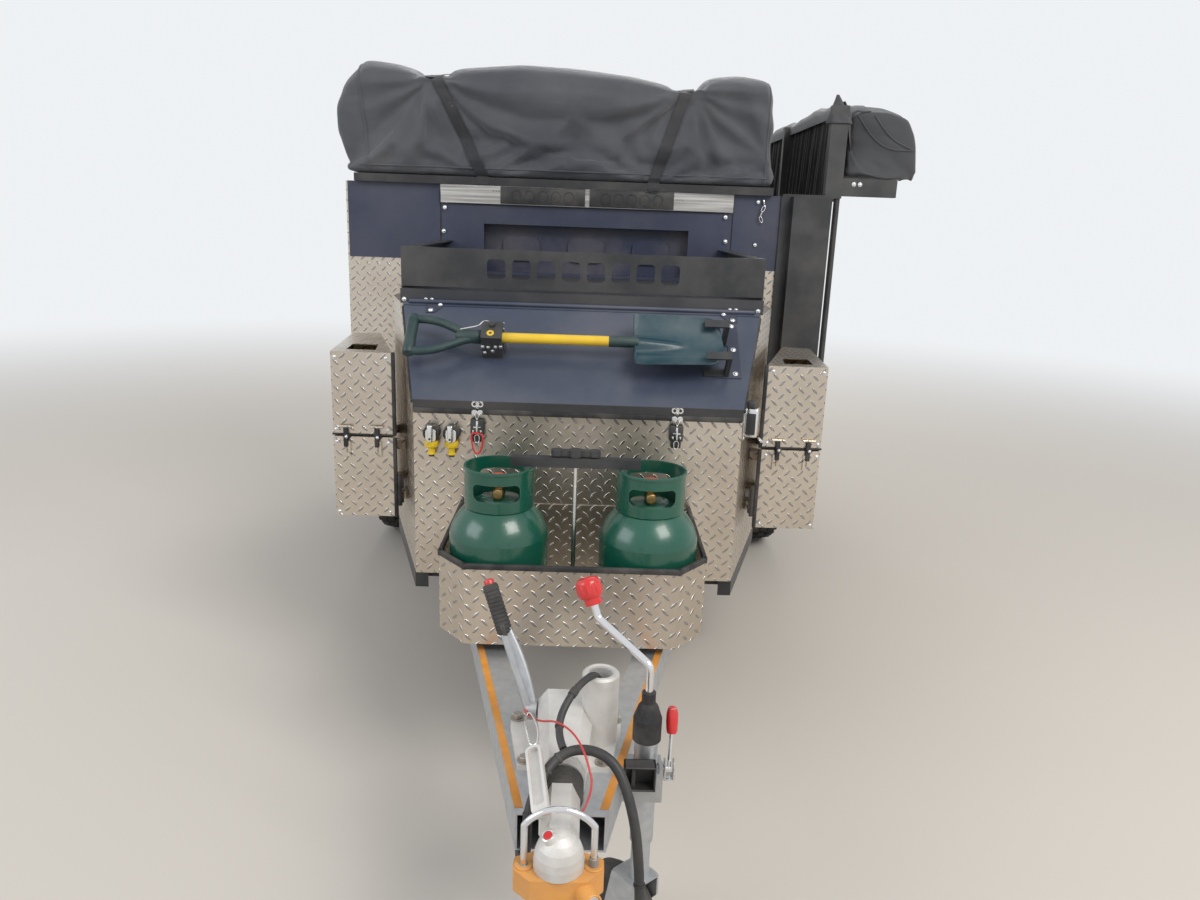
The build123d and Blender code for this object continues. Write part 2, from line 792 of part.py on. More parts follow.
with BuildPart() as nose_lid:
    lid_end = math.hypot(slope_y, slope_z)
    front_y, front_z = on_lid(lid_end, lid_gap)
    profile = [
        on_lid(10, lid_gap),
        (front_y, front_z),
        (front_y, front_z - lid_lip),
        (front_y + 3, front_z - lid_lip),
        (front_y + 3, on_lid(lid_end - 6, lid_gap + lid_thick)[1]),
        on_lid(lid_end - 24, lid_gap + lid_thick),
        on_lid(10, lid_gap + lid_thick),
    ]
    side_slab(profile, (-700, 700))
    leaf = [on_lid(0, 3), on_lid(14, 3), on_lid(14, lid_gap + 2), on_lid(0, lid_gap + 2)]
    side_slab(leaf, (-560, 560))
    low_half = nose_x(nose_front) - 2
    high_half = deck_half - deck_overhang - 1
    wide = [
        (-low_half, front_y - 5),
        (low_half, front_y - 5),
        (high_half, deck_front + 20),
        (-high_half, deck_front + 20),
    ]
    slab(wide, (300, 900), Mode.INTERSECT)
    rod((-540, hinge_y, hinge_z), (540, hinge_y, hinge_z), hinge_radius)
write(nose_lid, "nose_lid")

# Shovel clamped across the lid, modelled flat: X across the lid, Y up its slope, Z out of it

lid_mid = on_lid(186, lid_gap)
lid_plane = Plane(origin=(0, *lid_mid), x_dir=(1, 0, 0), z_dir=(0, -math.sin(slope), math.cos(slope)))
shaft_height = 58
shaft_radius = 15
grip_end = -520
grip_half = 75
socket_end = -300
blade_start = 160
blade_end = 425
blade_half = 98
blade_sheet = 4
blade_dish = 30
with BuildPart() as shovel:
    low = shaft_height - 12
    with BuildSketch(Plane.YZ.offset(blade_start)) as dish:
        with BuildLine():
            ThreePointArc((-blade_half, low + blade_dish), (0, low), (blade_half, low + blade_dish))
            Line((blade_half, low + blade_dish), (blade_half, low + blade_dish + blade_sheet))
            ThreePointArc(
                (blade_half, low + blade_dish + blade_sheet),
                (0, low + blade_sheet),
                (-blade_half, low + blade_dish + blade_sheet),
            )
            Line((-blade_half, low + blade_dish + blade_sheet), (-blade_half, low + blade_dish))
        make_face()
    extrude(dish.sketch, amount=blade_end - blade_start)
    blade_plan = [
        (blade_start, -60), (blade_start + 34, -blade_half), (blade_end - 50, -blade_half),
        (blade_end, -66), (blade_end, 66), (blade_end - 50, blade_half),
        (blade_start + 34, blade_half), (blade_start, 60),
    ]
    slab(blade_plan, (0, 200), Mode.INTERSECT)
    rod((socket_end - 40, 0, shaft_height), (blade_start + 90, 0, shaft_height), shaft_radius)
    with BuildSketch(Plane.XY.offset(shaft_height)) as grip_ring:
        with BuildLine():
            Polyline(
                (grip_end, -grip_half), (grip_end + 40, -grip_half), (socket_end - 50, -32),
                (socket_end, -19), (socket_end, 19), (socket_end - 50, 32),
                (grip_end + 40, grip_half), (grip_end, grip_half), close=True,
            )
        make_face()
        with BuildLine():
            Polyline(
                (grip_end + 32, -grip_half + 29), (grip_end + 50, -grip_half + 29),
                (socket_end - 78, -12), (socket_end - 78, 12), (grip_end + 50, grip_half - 29),
                (grip_end + 32, grip_half - 29), close=True,
            )
        make_face(mode=Mode.SUBTRACT)
    extrude(grip_ring.sketch, amount=15, both=True)
shovel.part = shovel.part.moved(lid_plane.location)
write(shovel, "shovel")

clamp_x = -262
hook_x = blade_end - 27
with BuildPart() as shovel_clamps:
    span((clamp_x - 30, clamp_x + 30), (-32, 32), (0, shaft_height + 32))
    rod((clamp_x - 31, 0, shaft_height), (clamp_x + 31, 0, shaft_height), shaft_radius + 0.5, Mode.SUBTRACT)
    for y in (-62, 62):
        span((hook_x - 30, hook_x + 44), (y - 14, y + 14), (0, 6))
        span((hook_x + 32, hook_x + 44), (y - 14, y + 14), (0, 84))
        span((hook_x - 30, hook_x + 44), (y - 14, y + 14), (78, 84))
shovel_clamps.part = shovel_clamps.part.moved(lid_plane.location)
write(shovel_clamps, "shovel_clamps")

# Rack: a folded plate basket on the deck with a slotted front

rack_front = 1535
rack_sheet = 4
rack_top = 947
rack_lift = 7
rack_flange = 42
panel_sheet = 6
rack_rear = body_front_y - panel_sheet
slot_count = 8
slot_pitch = 78
with BuildPart() as rack:
    span((-deck_half, deck_half), (rack_front, rack_front + rack_sheet), (deck_top + rack_lift, rack_top))
    for name, sign in sides:
        span(
            limits(deck_half - rack_sheet, deck_half, sign),
            (rack_front, rack_rear),
            (deck_top, rack_top),
        )
        span(
            limits(deck_half - rack_flange, deck_half, sign),
            (rack_front, rack_rear),
            (rack_top - rack_sheet, rack_top),
        )
    slot_z = (deck_top + rack_lift + rack_top) / 2
    with BuildSketch(Plane.XZ.offset(-rack_front - 50)) as slots:
        for index in range(slot_count):
            with Locations(((index - (slot_count - 1) / 2) * slot_pitch, slot_z)):
                RectangleRounded(58, 62, 14)
    extrude(slots.sketch, amount=100, mode=Mode.SUBTRACT)
write(rack, "rack")

# Water can holders: a lower box fixed to the nose and a cover that tips back on its rear edge


def holder_plan(sign):
    """Plan corners of a holder: its rear face stands square to the slanted side of the nose."""
    back = (holder_inner + nose_slant * holder_depth, holder_front + holder_depth)
    narrowing = holder_width + (holder_flare - nose_slant) * holder_depth
    reach = narrowing / (1 + holder_flare * nose_slant)
    points = [
        (holder_inner, holder_front),
        (holder_inner + holder_width, holder_front),
        (back[0] + reach, back[1] - nose_slant * reach),
        back,
    ]
    return both(points, sign)


def holder_box(sign, z, inset=0, mode=Mode.ADD):
    with BuildSketch(Plane.XY.offset(z[0])) as plan:
        with BuildLine():
            Polyline(*holder_plan(sign), close=True)
        make_face()
        if inset:
            offset(amount=-inset, kind=Kind.INTERSECTION, mode=Mode.REPLACE)
    extrude(plan.sketch, amount=z[1] - z[0], mode=mode)


cover_gap = 4
hinge_pin = 5
latch_half = 13
latch_stand = 7
with BuildPart() as can_holders:
    for name, sign in sides:
        holder_box(sign, (holder_bottom, holder_split))
        holder_box(sign, (holder_bottom + holder_sheet, holder_split + 1), holder_sheet, Mode.SUBTRACT)
        for y in (holder_front + 90, holder_front + 300):
            near = nose_x(y)
            inner = holder_inner + nose_slant * (y - holder_front)
            bracket = [
                (near, y),
                (inner + 1, y),
                (inner + 1 + nose_slant * 40, y + 40),
                (nose_x(y + 40), y + 40),
            ]
            for z in (holder_bottom + 30, holder_split - 60):
                slab(both(bracket, sign), (z, z + 30))
        # Two toggle latches on the front face reach over the split
        for x in (holder_inner + 52, holder_inner + 148):
            at = limits(x - latch_half, x + latch_half, sign)
            span(at, (holder_front - latch_stand, holder_front + 1), (holder_split - 62, holder_split - 14))
            middle = sign * x
            top = holder_split + 34
            rod((middle, holder_front - latch_stand, holder_split - 50), (middle, holder_front - latch_stand, top), 4)
            rod((middle - 20, holder_front - latch_stand - 3, top), (middle + 20, holder_front - latch_stand - 3, top), 4)
write(can_holders, "can_holders")

hinge_away = (hinge_pin + seat_gap) / math.hypot(1, nose_slant)
for name, sign in sides:
    with BuildPart() as can_cover:
        holder_box(sign, (holder_split + cover_gap, holder_top))
        holder_box(sign, (holder_split, holder_top - holder_sheet), holder_sheet, Mode.SUBTRACT)
        window = [
            (holder_inner + 62, holder_front + 50),
            (holder_inner + 152, holder_front + 50),
            (holder_inner + 162, holder_front + 170),
            (holder_inner + 82, holder_front + 170),
        ]
        slab(both(window, sign), (holder_top - 10, holder_top + 1), Mode.SUBTRACT)
        outer_back, inner_back = [Vector(*point) for point in holder_plan(sign)[2:]]
        across = (outer_back - inner_back).normalized()
        away = Vector(sign * nose_slant * hinge_away, hinge_away, 0)
        low = inner_back + across * 12 + away
        high = outer_back - across * 12 + away
        axis_z = Vector(0, 0, holder_split + cover_gap / 2)
        rod(tuple(low + axis_z), tuple(high + axis_z), hinge_pin)
        leaf = Plane(origin=low + away, x_dir=across, z_dir=(0, 0, 1))
        with BuildSketch(leaf.offset(holder_split + cover_gap + 1)) as leaf_plan:
            with Locations(((high - low).length / 2, sign * -(hinge_pin + 1))):
                Rectangle((high - low).length, 2 * hinge_pin + 2)
        extrude(leaf_plan.sketch, amount=4)
    write(can_cover, f"can_cover_{name}")

can_front = holder_front + 61
can_depth = 170
can_height = 400
can_clear = 4
with BuildPart() as water_cans:
    for name, sign in sides:
        floor_z = holder_bottom + holder_sheet
        can_back = can_front + can_depth - holder_front
        low = holder_inner + nose_slant * can_back + holder_sheet + can_clear
        high = holder_inner + holder_width + holder_flare * (can_front - holder_front) - holder_sheet - can_clear
        span(
            limits(low, high, sign),
            (can_front, can_front + can_depth),
            (floor_z, floor_z + can_height),
        )
write(water_cans, "water_cans")

# Body: floors, wheel arches, walls with their doorways, and the roof

floor_inner = 600
with BuildPart() as floors:
    notch = (axle_y - arch_half, axle_y + arch_half)
    span((-body_half, body_half), (body_front_y, body_rear_y), (chassis_top, floor_top))
    for name, sign in sides:
        span(limits(arch_inner, body_half + 1, sign), notch, (chassis_top - 1, floor_top + 1), Mode.SUBTRACT)
    nose_plan = [
        (nose_x(side_start) - nose_wall, side_start),
        (nose_x(nose_straight_y) - nose_wall, nose_straight_y),
        (nose_x(nose_straight_y) - nose_wall, body_front_y - 1),
    ]
    mirrored = [(-x, y) for x, y in reversed(nose_plan)]
    slab(nose_plan + mirrored, (chassis_top, chassis_top + nose_floor_thick))
write(floors, "floors")

arch_profile = [
    (axle_y - arch_half, chassis_top),
    (axle_y - arch_half, arch_top - arch_corner),
    (axle_y - arch_half + arch_corner, arch_top),
    (axle_y + arch_half - arch_corner, arch_top),
    (axle_y + arch_half, arch_top - arch_corner),
    (axle_y + arch_half, chassis_top),
]
arch_inside = [
    (axle_y - arch_half + arch_sheet, chassis_top - 1),
    (axle_y - arch_half + arch_sheet, arch_top - arch_corner - 2),
    (axle_y - arch_half + arch_corner + 2, arch_top - arch_sheet),
    (axle_y + arch_half - arch_corner - 2, arch_top - arch_sheet),
    (axle_y + arch_half - arch_sheet, arch_top - arch_corner - 2),
    (axle_y + arch_half - arch_sheet, chassis_top - 1),
]
with BuildPart() as wheel_arches:
    for name, sign in sides:
        side_slab(arch_profile, limits(arch_inner, body_half - body_wall, sign))
        side_slab(arch_inside, limits(arch_inner + arch_sheet, body_half, sign), Mode.SUBTRACT)
write(wheel_arches, "wheel_arches")

recess_half = 405
recess_low = 830
recess_high = 1015
recess_depth = 52
pad_width = 146
pad_pitch = 260
with BuildPart() as body_front:
    span((-body_half, body_half), (body_front_y, body_front_y + body_wall), (floor_top, roof_bottom))
    wall_back = body_front_y + body_wall
    pan_back = body_front_y + recess_depth
    span((-recess_half - 4, recess_half + 4), (wall_back - 1, pan_back + 4), (recess_low - 4, recess_high + 4))
    span((-recess_half, recess_half), (body_front_y - 1, pan_back), (recess_low, recess_high), Mode.SUBTRACT)
    for index in (-1, 0, 1):
        with BuildSketch(Plane.XZ.offset(-pan_back)) as pad:
            with Locations((index * pad_pitch, (recess_low + recess_high) / 2)):
                RectangleRounded(pad_width, 96, 30)
        extrude(pad.sketch, amount=10)
write(body_front, "body_front")

door_low = 430
door_high = 1090
hatch_front = body_front_y + 90
hatch_rear = body_rear_y - 100
side_door_front = body_front_y + 70
side_door_rear = side_door_front + 900
for name, sign, opening in (
    ("left", 1, (hatch_front, hatch_rear)),
    ("right", -1, (side_door_front, side_door_rear)),
):
    with BuildPart() as body_side:
        wall = limits(body_half - body_wall, body_half, sign)
        beyond = limits(body_half - body_wall - 1, body_half + 1, sign)
        span(wall, (body_front_y + body_wall, body_rear_y - body_wall), (floor_top, roof_bottom))
        side_slab(arch_profile, beyond, Mode.SUBTRACT)
        span(beyond, opening, (door_low, door_high), Mode.SUBTRACT)
    write(body_side, f"body_side_{name}")

rear_door_half = 700
rear_door_low = 60
rear_door_high = 1090
with BuildPart() as body_rear:
    span((-body_half, body_half), (body_rear_y - body_wall, body_rear_y), (floor_top, roof_bottom))
    span(
        (-rear_door_half, rear_door_half),
        (body_rear_y - body_wall - 1, body_rear_y + 1),
        (rear_door_low, rear_door_high),
        Mode.SUBTRACT,
    )
write(body_rear, "body_rear")

with BuildPart() as body_roof:
    span((-body_half, body_half), (body_front_y, body_rear_y), (roof_bottom, roof_top))
write(body_roof, "body_roof")

# Painted panels on the front wall: a wide one each side and a framed one in the middle

panel_low = 871
strip_x = (-456, 454)
strip_z = (1089, 1146)
centre_half = deck_half
with BuildPart() as front_panels:
    panel_y = (body_front_y - panel_sheet, body_front_y)
    for name, sign in sides:
        outer_edge = body_half - 8 if sign < 0 else body_half - 183
        span(limits(centre_half + 8, outer_edge, sign), panel_y, (panel_low, roof_top))
    span((-centre_half, centre_half), panel_y, (deck_top, 1085))
    span((-recess_half, recess_half), (body_front_y - 10, body_front_y + 1), (recess_low, recess_high), Mode.SUBTRACT)
    span(strip_x, (body_front_y - 14, body_front_y), strip_z)
    middle = (sum(strip_x) / 2, sum(strip_z) / 2)
    with BuildSketch(Plane.XZ.offset(-body_front_y - 1)) as strip_holes:
        for x in (-150, -95, -40, 40, 95, 150):
            with Locations((middle[0] + x, middle[1])):
                Circle(16)
    extrude(strip_holes.sketch, amount=40, mode=Mode.SUBTRACT)
write(front_panels, "front_panels")

# Doors: a lifting hatch on the kerb side, a side door hinged at its front, and the rear door

barrel = 8
with BuildPart() as hatch_left:
    span(
        (body_half - body_wall, body_half),
        (hatch_front + door_gap, hatch_rear - door_gap),
        (door_low + door_gap, door_high - door_gap),
    )
    hatch_axis = (body_half + barrel, door_high + barrel)
    rod((hatch_axis[0], hatch_front + 60, hatch_axis[1]), (hatch_axis[0], hatch_rear - 60, hatch_axis[1]), barrel)
    span(
        (body_half + 0.6, body_half + 5),
        (hatch_front + 60, hatch_rear - 60),
        (door_high - door_gap - 40, hatch_axis[1]),
    )
    span(
        (body_half - 1, body_half + 5),
        (hatch_front + 60, hatch_rear - 60),
        (door_high - door_gap - 40, door_high - door_gap),
    )
write(hatch_left, "hatch_left")

with BuildPart() as side_door_right:
    span(
        (-body_half, -body_half + body_wall),
        (side_door_front + door_gap, side_door_rear - door_gap),
        (door_low + door_gap, door_high - door_gap),
    )
    door_axis = (-body_half - barrel, side_door_front - 2)
    for z in (480, 770, 1010):
        rod((*door_axis, z), (*door_axis, z + 60), barrel)
        span((-body_half - 5, -body_half - 0.6), (door_axis[1], side_door_front + 45), (z, z + 60))
        span((-body_half - 5, -body_half + 1), (side_door_front + 6, side_door_front + 45), (z, z + 60))
write(side_door_right, "side_door_right")

spare_z = 500
spare_post = 96
with BuildPart() as rear_door:
    span(
        (-rear_door_half + door_gap, rear_door_half - door_gap),
        (body_rear_y - body_wall, body_rear_y),
        (rear_door_low + door_gap, rear_door_high - door_gap),
    )
    rear_axis = (-rear_door_half - 2, body_rear_y + barrel)
    for z in (140, 560, 960):
        rod((*rear_axis, z), (*rear_axis, z + 80), barrel)
        span((rear_axis[0], -rear_door_half + 60), (body_rear_y + 0.6, body_rear_y + 5), (z, z + 80))
        span((-rear_door_half + 6, -rear_door_half + 60), (body_rear_y - 1, body_rear_y + 5), (z, z + 80))
    rod((0, body_rear_y - 1, spare_z), (0, body_rear_y + spare_post, spare_z), 80)
write(rear_door, "rear_door")

# Tail lamps

with BuildPart() as tail_lamps:
    for name, sign in sides:
        span(limits(820, 920, sign), (body_rear_y, body_rear_y + 28), (300, 440))
write(tail_lamps, "tail_lamps")

# Wheels: a tyre and a rim with its hub, drawn about X and set at each place


def tyre_profile():
    half = tyre_width / 2
    with BuildSketch(Plane.XY) as profile:
        with BuildLine():
            Polyline(
                (-half + 30, rim_radius), (-half + 8, rim_radius + 20), (-half, rim_radius + 78),
                (-half, wheel_radius - 66), (-half + 10, wheel_radius - 22), (-half + 34, wheel_radius),
                (half - 34, wheel_radius), (half - 10, wheel_radius - 22), (half, wheel_radius - 66),
                (half, rim_radius + 78), (half - 8, rim_radius + 20), (half - 30, rim_radius),
                close=True,
            )
        make_face()
    return profile.sketch


def rim_profile(bore):
    half = tyre_width / 2 - 30
    with BuildSketch(Plane.XY) as profile:
        with BuildLine():
            Polyline(
                (-half, rim_radius), (half, rim_radius), (half, rim_radius - 12),
                (half - 20, rim_radius - 22), (32, rim_radius - 22), (24, 150), (44, 96), (62, 92),
                (hub_face, 60), (hub_face, bore), (-hub_back, bore), (-hub_back, 60), (10, 70), (10, rim_radius - 26),
                (-half + 20, rim_radius - 26), (-half, rim_radius - 12), close=True,
            )
        make_face()
    return profile.sketch


spin_axis = Axis((0, 0, 0), (1, 0, 0))
nut_circle = 48
nut_count = 6
hub_face = 70
window_count = 8
window_radius = 22
hub_back = 60
spare_y = body_rear_y + spare_post + hub_back + seat_gap
places = (
    ("left", Location((wheel_x, axle_y, axle_z))),
    ("right", Location((-wheel_x, axle_y, axle_z), (0, 0, 180))),
    ("spare", Location((0, spare_y, spare_z), (0, 0, 90))),
)
for name, place in places:
    with BuildPart() as tyre:
        revolve(tyre_profile(), axis=spin_axis, revolution_arc=360)
    tyre.part = tyre.part.moved(place)
    write(tyre, f"tyre_{name}")
    hub_bore = stub_radius + running_gap
    with BuildPart() as rim:
        revolve(rim_profile(hub_bore), axis=spin_axis, revolution_arc=360)
        with BuildSketch(Plane.YZ.offset(-20)) as windows:
            with PolarLocations(122, window_count):
                Circle(window_radius)
        extrude(windows.sketch, amount=200, mode=Mode.SUBTRACT)
        with BuildSketch(Plane.YZ.offset(hub_face - 1)) as nuts:
            with PolarLocations(nut_circle, nut_count):
                RegularPolygon(radius=11, side_count=6)
        extrude(nuts.sketch, amount=16)
    rim.part = rim.part.moved(place)
    write(rim, f"rim_{name}")

# Rubber torsion axle: a square tube under the chassis with a trailing arm and stub at each end

axle_tube = 80
tube_y = axle_y - 170
tube_z = chassis_bottom - axle_tube / 2
tube_half = 640
arm_inner = 642
arm_outer = 688
with BuildPart() as axle_beam:
    span((-tube_half, tube_half), (tube_y - axle_tube / 2, tube_y + axle_tube / 2), (tube_z - axle_tube / 2, tube_z + axle_tube / 2))
write(axle_beam, "axle_beam")

with BuildPart() as axle_arms:
    for name, sign in sides:
        arm = [
            (tube_y - 38, tube_z - 30), (tube_y - 38, tube_z + 30), (tube_y - 20, tube_z + 42),
            (axle_y + 20, axle_z + 36), (axle_y + 36, axle_z + 20), (axle_y + 36, axle_z - 22),
            (axle_y + 20, axle_z - 38), (tube_y - 20, tube_z - 44),
        ]
        side_slab(arm, limits(tube_half, arm_outer, sign))
        end = wheel_x + 40
        rod((sign * (arm_outer - 1), axle_y, axle_z), (sign * end, axle_y, axle_z), stub_radius)
        plate_x = wheel_x - tyre_width / 2 + 40
        rod((sign * plate_x, axle_y, axle_z), (sign * (plate_x + 8), axle_y, axle_z), 150)
        rod((sign * (arm_outer - 1), axle_y, axle_z), (sign * plate_x, axle_y, axle_z), 40)
write(axle_arms, "axle_arms")

# Rear stabiliser legs, stowed forward under the chassis rails

leg_reach = leg_pivot_z - ground - 5
for name, sign in sides:
    with BuildPart() as stabiliser:
        middle = sign * chassis_rail_x
        span(
            (middle - leg_width / 2, middle + leg_width / 2),
            (leg_pivot_y - leg_reach + 4, leg_pivot_y),
            (leg_pivot_z - 15, leg_pivot_z + 15),
        )
        rod((middle - leg_width / 2, leg_pivot_y, leg_pivot_z), (middle + leg_width / 2, leg_pivot_y, leg_pivot_z), 15)
        foot_y = leg_pivot_y - leg_reach
        span((middle - 45, middle + 45), (foot_y, foot_y + 4), (leg_pivot_z - 28, leg_pivot_z + 28))
        reach = leg_width / 2 + 3 - seat_gap
        rod((middle - reach, leg_pivot_y, leg_pivot_z), (middle + reach, leg_pivot_y, leg_pivot_z), 8)
    write(stabiliser, f"stabiliser_{name}")

# Roof tent: its base board and the folded tent under its cover

with BuildPart() as tent_base:
    span((tent_low_x + 30, tent_high_x - 10), (tent_front + 10, tent_rear), (roof_top, tent_base_top))
write(tent_base, "tent_base")

# The cover's outline from low left over the top to low right: share of its width, share of its height.
# Two dips are where the straps pull it down.
tent_low = tent_base_top + seat_gap
tent_width = tent_high_x - tent_low_x
tent_height = tent_top - tent_low
tent_outline = [
    (0.0, 0.0), (-0.022, 0.2), (-0.038, 0.42), (-0.042, 0.62), (-0.020, 0.83), (0.022, 0.955),
    (0.105, 0.965), (0.196, 0.865), (0.295, 0.965), (0.400, 1.0), (0.525, 0.995), (0.655, 0.945),
    (0.787, 0.815), (0.845, 0.960), (0.910, 0.985), (0.960, 0.945), (0.986, 0.81), (0.998, 0.55), (0.993, 0.0),
]
tent_tuck = 60
tent_drop = 0.12


def tent_section(y, tuck, drop):
    """One section of the cover, drawn in by a tuck and lowered by a share of its height."""
    centre = tent_low_x + tent_width / 2
    with BuildSketch(Plane.XZ.offset(-y)) as section:
        with BuildLine():
            outline = []
            for across, up in tent_outline:
                x = tent_low_x + across * tent_width
                x = x - math.copysign(tuck * up, x - centre)
                outline.append((x, tent_low + up * tent_height * (1 - drop * up)))
            Polyline(*outline, close=True)
        make_face()
    return section.sketch


with BuildPart() as tent_cover:
    loft(
        [
            tent_section(tent_front, tent_tuck, tent_drop),
            tent_section(tent_front + 1.5 * tent_tuck, 0, 0),
            tent_section(tent_rear - 1.5 * tent_tuck, 0, 0),
            tent_section(tent_rear, tent_tuck, tent_drop),
        ],
        ruled=True,
    )
write(tent_cover, "tent_cover")

# Awning frame on the kerb side of the roof, and the rolled awning lying in it

frame_post = (body_half - 11, body_half + 55)
frame_low = roof_top + 10
frame_arm = bag_bottom - seat_gap
frame_high = bag_top - 25
frame_section = 40
bag_front = body_front_y + 15
bag_rear = body_rear_y - 50
column = (body_half - 145, body_half + 5)
column_low = 430
strip_inner = column[0] - 38
pole_x = body_half + 43
pole_radius = 12
frame_front = body_front_y
frame_rear = body_rear_y - 100
with BuildPart() as awning_frame:
    for y in (frame_front, (frame_front + frame_rear) / 2, frame_rear):
        along = (y, y + frame_section)
        span(frame_post, along, (frame_low, frame_high))
        span((frame_post[1], bag_outer - 123), along, (frame_low, frame_arm))
        span((frame_post[1] + 4, bag_outer - 119), (y + 4, y + frame_section + 1), (frame_low + 4, frame_arm - 4), Mode.SUBTRACT)
        span((frame_post[0] - 164, frame_post[1]), along, (roof_top, frame_low))
    rail = (frame_front, frame_rear + frame_section)
    span((frame_post[1] - 35, frame_post[1]), rail, (frame_high - 30, frame_high))
    span(column, (body_front_y - 62, body_front_y - panel_sheet), (column_low, roof_top))
    span((strip_inner, column[0]), (body_front_y - panel_sheet - 8, body_front_y), (column_low, roof_top))
    span(column, (body_front_y - panel_sheet - 1, body_front_y), (column_low, roof_top))
    rod((pole_x, body_front_y + 20, column_low), (pole_x, body_front_y + 20, frame_low + 1), pole_radius)
    span((body_half, pole_x), (body_front_y + 8, body_front_y + 32), (column_low, column_low + 20))
write(awning_frame, "awning_frame")

with BuildPart() as awning_bag:
    with BuildSketch(Plane.XZ.offset(-bag_rear)) as bag_section:
        with BuildLine():
            Line((bag_inner, bag_bottom + 30), (bag_inner, bag_top - 50))
            ThreePointArc(
                (bag_inner, bag_top - 50),
                (bag_inner + 110, bag_top),
                (bag_outer - 60, bag_top - 40),
            )
            ThreePointArc(
                (bag_outer - 60, bag_top - 40),
                (bag_outer, bag_bottom + 120),
                (bag_outer - 70, bag_bottom),
            )
            Polyline((bag_outer - 70, bag_bottom), (bag_inner + 30, bag_bottom), (bag_inner, bag_bottom + 30))
        make_face()
    extrude(bag_section.sketch, amount=bag_rear - bag_front)
write(awning_bag, "awning_bag")
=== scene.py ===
# %% [markdown]
# # A camping trailer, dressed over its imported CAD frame
# The frame holds every rigid piece at its real size. This lesson adds what CAD leaves out: metal
# that looks handled, raised lugs on the tread plate, folded canvas, webbing, cables and small fittings.

import math
import random

import bmesh
import bpy
from mathutils import Matrix, Vector


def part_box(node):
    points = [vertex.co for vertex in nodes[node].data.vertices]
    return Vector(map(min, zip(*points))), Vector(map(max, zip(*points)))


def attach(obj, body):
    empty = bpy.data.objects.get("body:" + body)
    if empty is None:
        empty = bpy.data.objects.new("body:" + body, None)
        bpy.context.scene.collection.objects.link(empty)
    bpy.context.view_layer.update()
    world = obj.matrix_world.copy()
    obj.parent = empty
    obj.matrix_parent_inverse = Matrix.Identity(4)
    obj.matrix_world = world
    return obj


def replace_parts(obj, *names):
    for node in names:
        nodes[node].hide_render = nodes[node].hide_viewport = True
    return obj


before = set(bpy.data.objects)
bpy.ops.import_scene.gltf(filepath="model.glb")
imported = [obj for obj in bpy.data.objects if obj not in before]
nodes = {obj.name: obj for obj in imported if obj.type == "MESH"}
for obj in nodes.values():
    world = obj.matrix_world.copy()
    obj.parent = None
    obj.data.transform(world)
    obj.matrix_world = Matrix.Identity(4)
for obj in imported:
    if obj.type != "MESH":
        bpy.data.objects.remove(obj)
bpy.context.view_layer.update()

# %% [markdown]
# ## Camera
# The photo was taken at head height by someone standing at the ball coupling. A camera solved from known
# sizes on the trailer gives the place, three angles and the lens, so the render overlays the photo.

# %% Camera at the photo's view
camera_place = Vector((0.022, -1.285, 1.056))
camera_yaw = 0.0177
camera_pitch = 0.2573
camera_roll = 0.0366
focal_pixels = 884.4
photo_width = 1200
sensor_width = 36

forward = Vector((
    math.sin(camera_yaw) * math.cos(camera_pitch),
    math.cos(camera_yaw) * math.cos(camera_pitch),
    -math.sin(camera_pitch),
))
level = Vector((math.cos(camera_yaw), -math.sin(camera_yaw), 0))
upright = level.cross(forward)
across = level * math.cos(camera_roll) + upright * math.sin(camera_roll)
upward = upright * math.cos(camera_roll) - level * math.sin(camera_roll)
camera_data = bpy.data.cameras.new("photo_camera")
camera_data.sensor_width = sensor_width
camera_data.lens = focal_pixels * sensor_width / photo_width
camera_data.clip_start = 0.05
camera = bpy.data.objects.new("photo_camera", camera_data)
turn = Matrix((across, upward, -forward)).transposed().to_4x4()
camera.matrix_world = Matrix.Translation(camera_place) @ turn
bpy.context.scene.collection.objects.link(camera)
bpy.context.scene.camera = camera
bpy.context.scene.view_settings.view_transform = "Standard"
print("lens", round(camera_data.lens, 2), "mm")

# %% [markdown]
# ## Floor and light
# A real studio has a pale floor that curves up into a pale wall, and large soft lamps. Here the sky is
# brighter to the camera and to reflections than to surfaces, so polished plate mirrors a pale room without
# washing out. One plain backdrop picture would be simpler, but metal needs a room to mirror.

# %% Sky
studio_pale = (0.86, 0.88, 0.9, 1)
world = bpy.data.worlds.new("studio")
world.use_nodes = True
bpy.context.scene.world = world
sky_nodes, sky_links = world.node_tree.nodes, world.node_tree.links
sky_nodes.clear()
sky_out = sky_nodes.new("ShaderNodeOutputWorld")
sky_rays = sky_nodes.new("ShaderNodeLightPath")
sky_mix = sky_nodes.new("ShaderNodeMixShader")
for socket, colour, strength in ((1, (0.93, 0.96, 1.0, 1), 0.62), (2, studio_pale, 1.0)):
    glow = sky_nodes.new("ShaderNodeBackground")
    glow.inputs["Color"].default_value = colour
    glow.inputs["Strength"].default_value = strength
    sky_links.new(glow.outputs[0], sky_mix.inputs[socket])
shown = sky_rays.outputs["Is Camera Ray"]
for ray in ("Is Glossy Ray", "Is Transmission Ray"):
    both = sky_nodes.new("ShaderNodeMath")
    both.operation = "MAXIMUM"
    sky_links.new(shown, both.inputs[0])
    sky_links.new(sky_rays.outputs[ray], both.inputs[1])
    shown = both.outputs[0]
sky_links.new(shown, sky_mix.inputs[0])
sky_links.new(sky_mix.outputs[0], sky_out.inputs["Surface"])
print("sky nodes", len(sky_nodes))

# %% Lamps


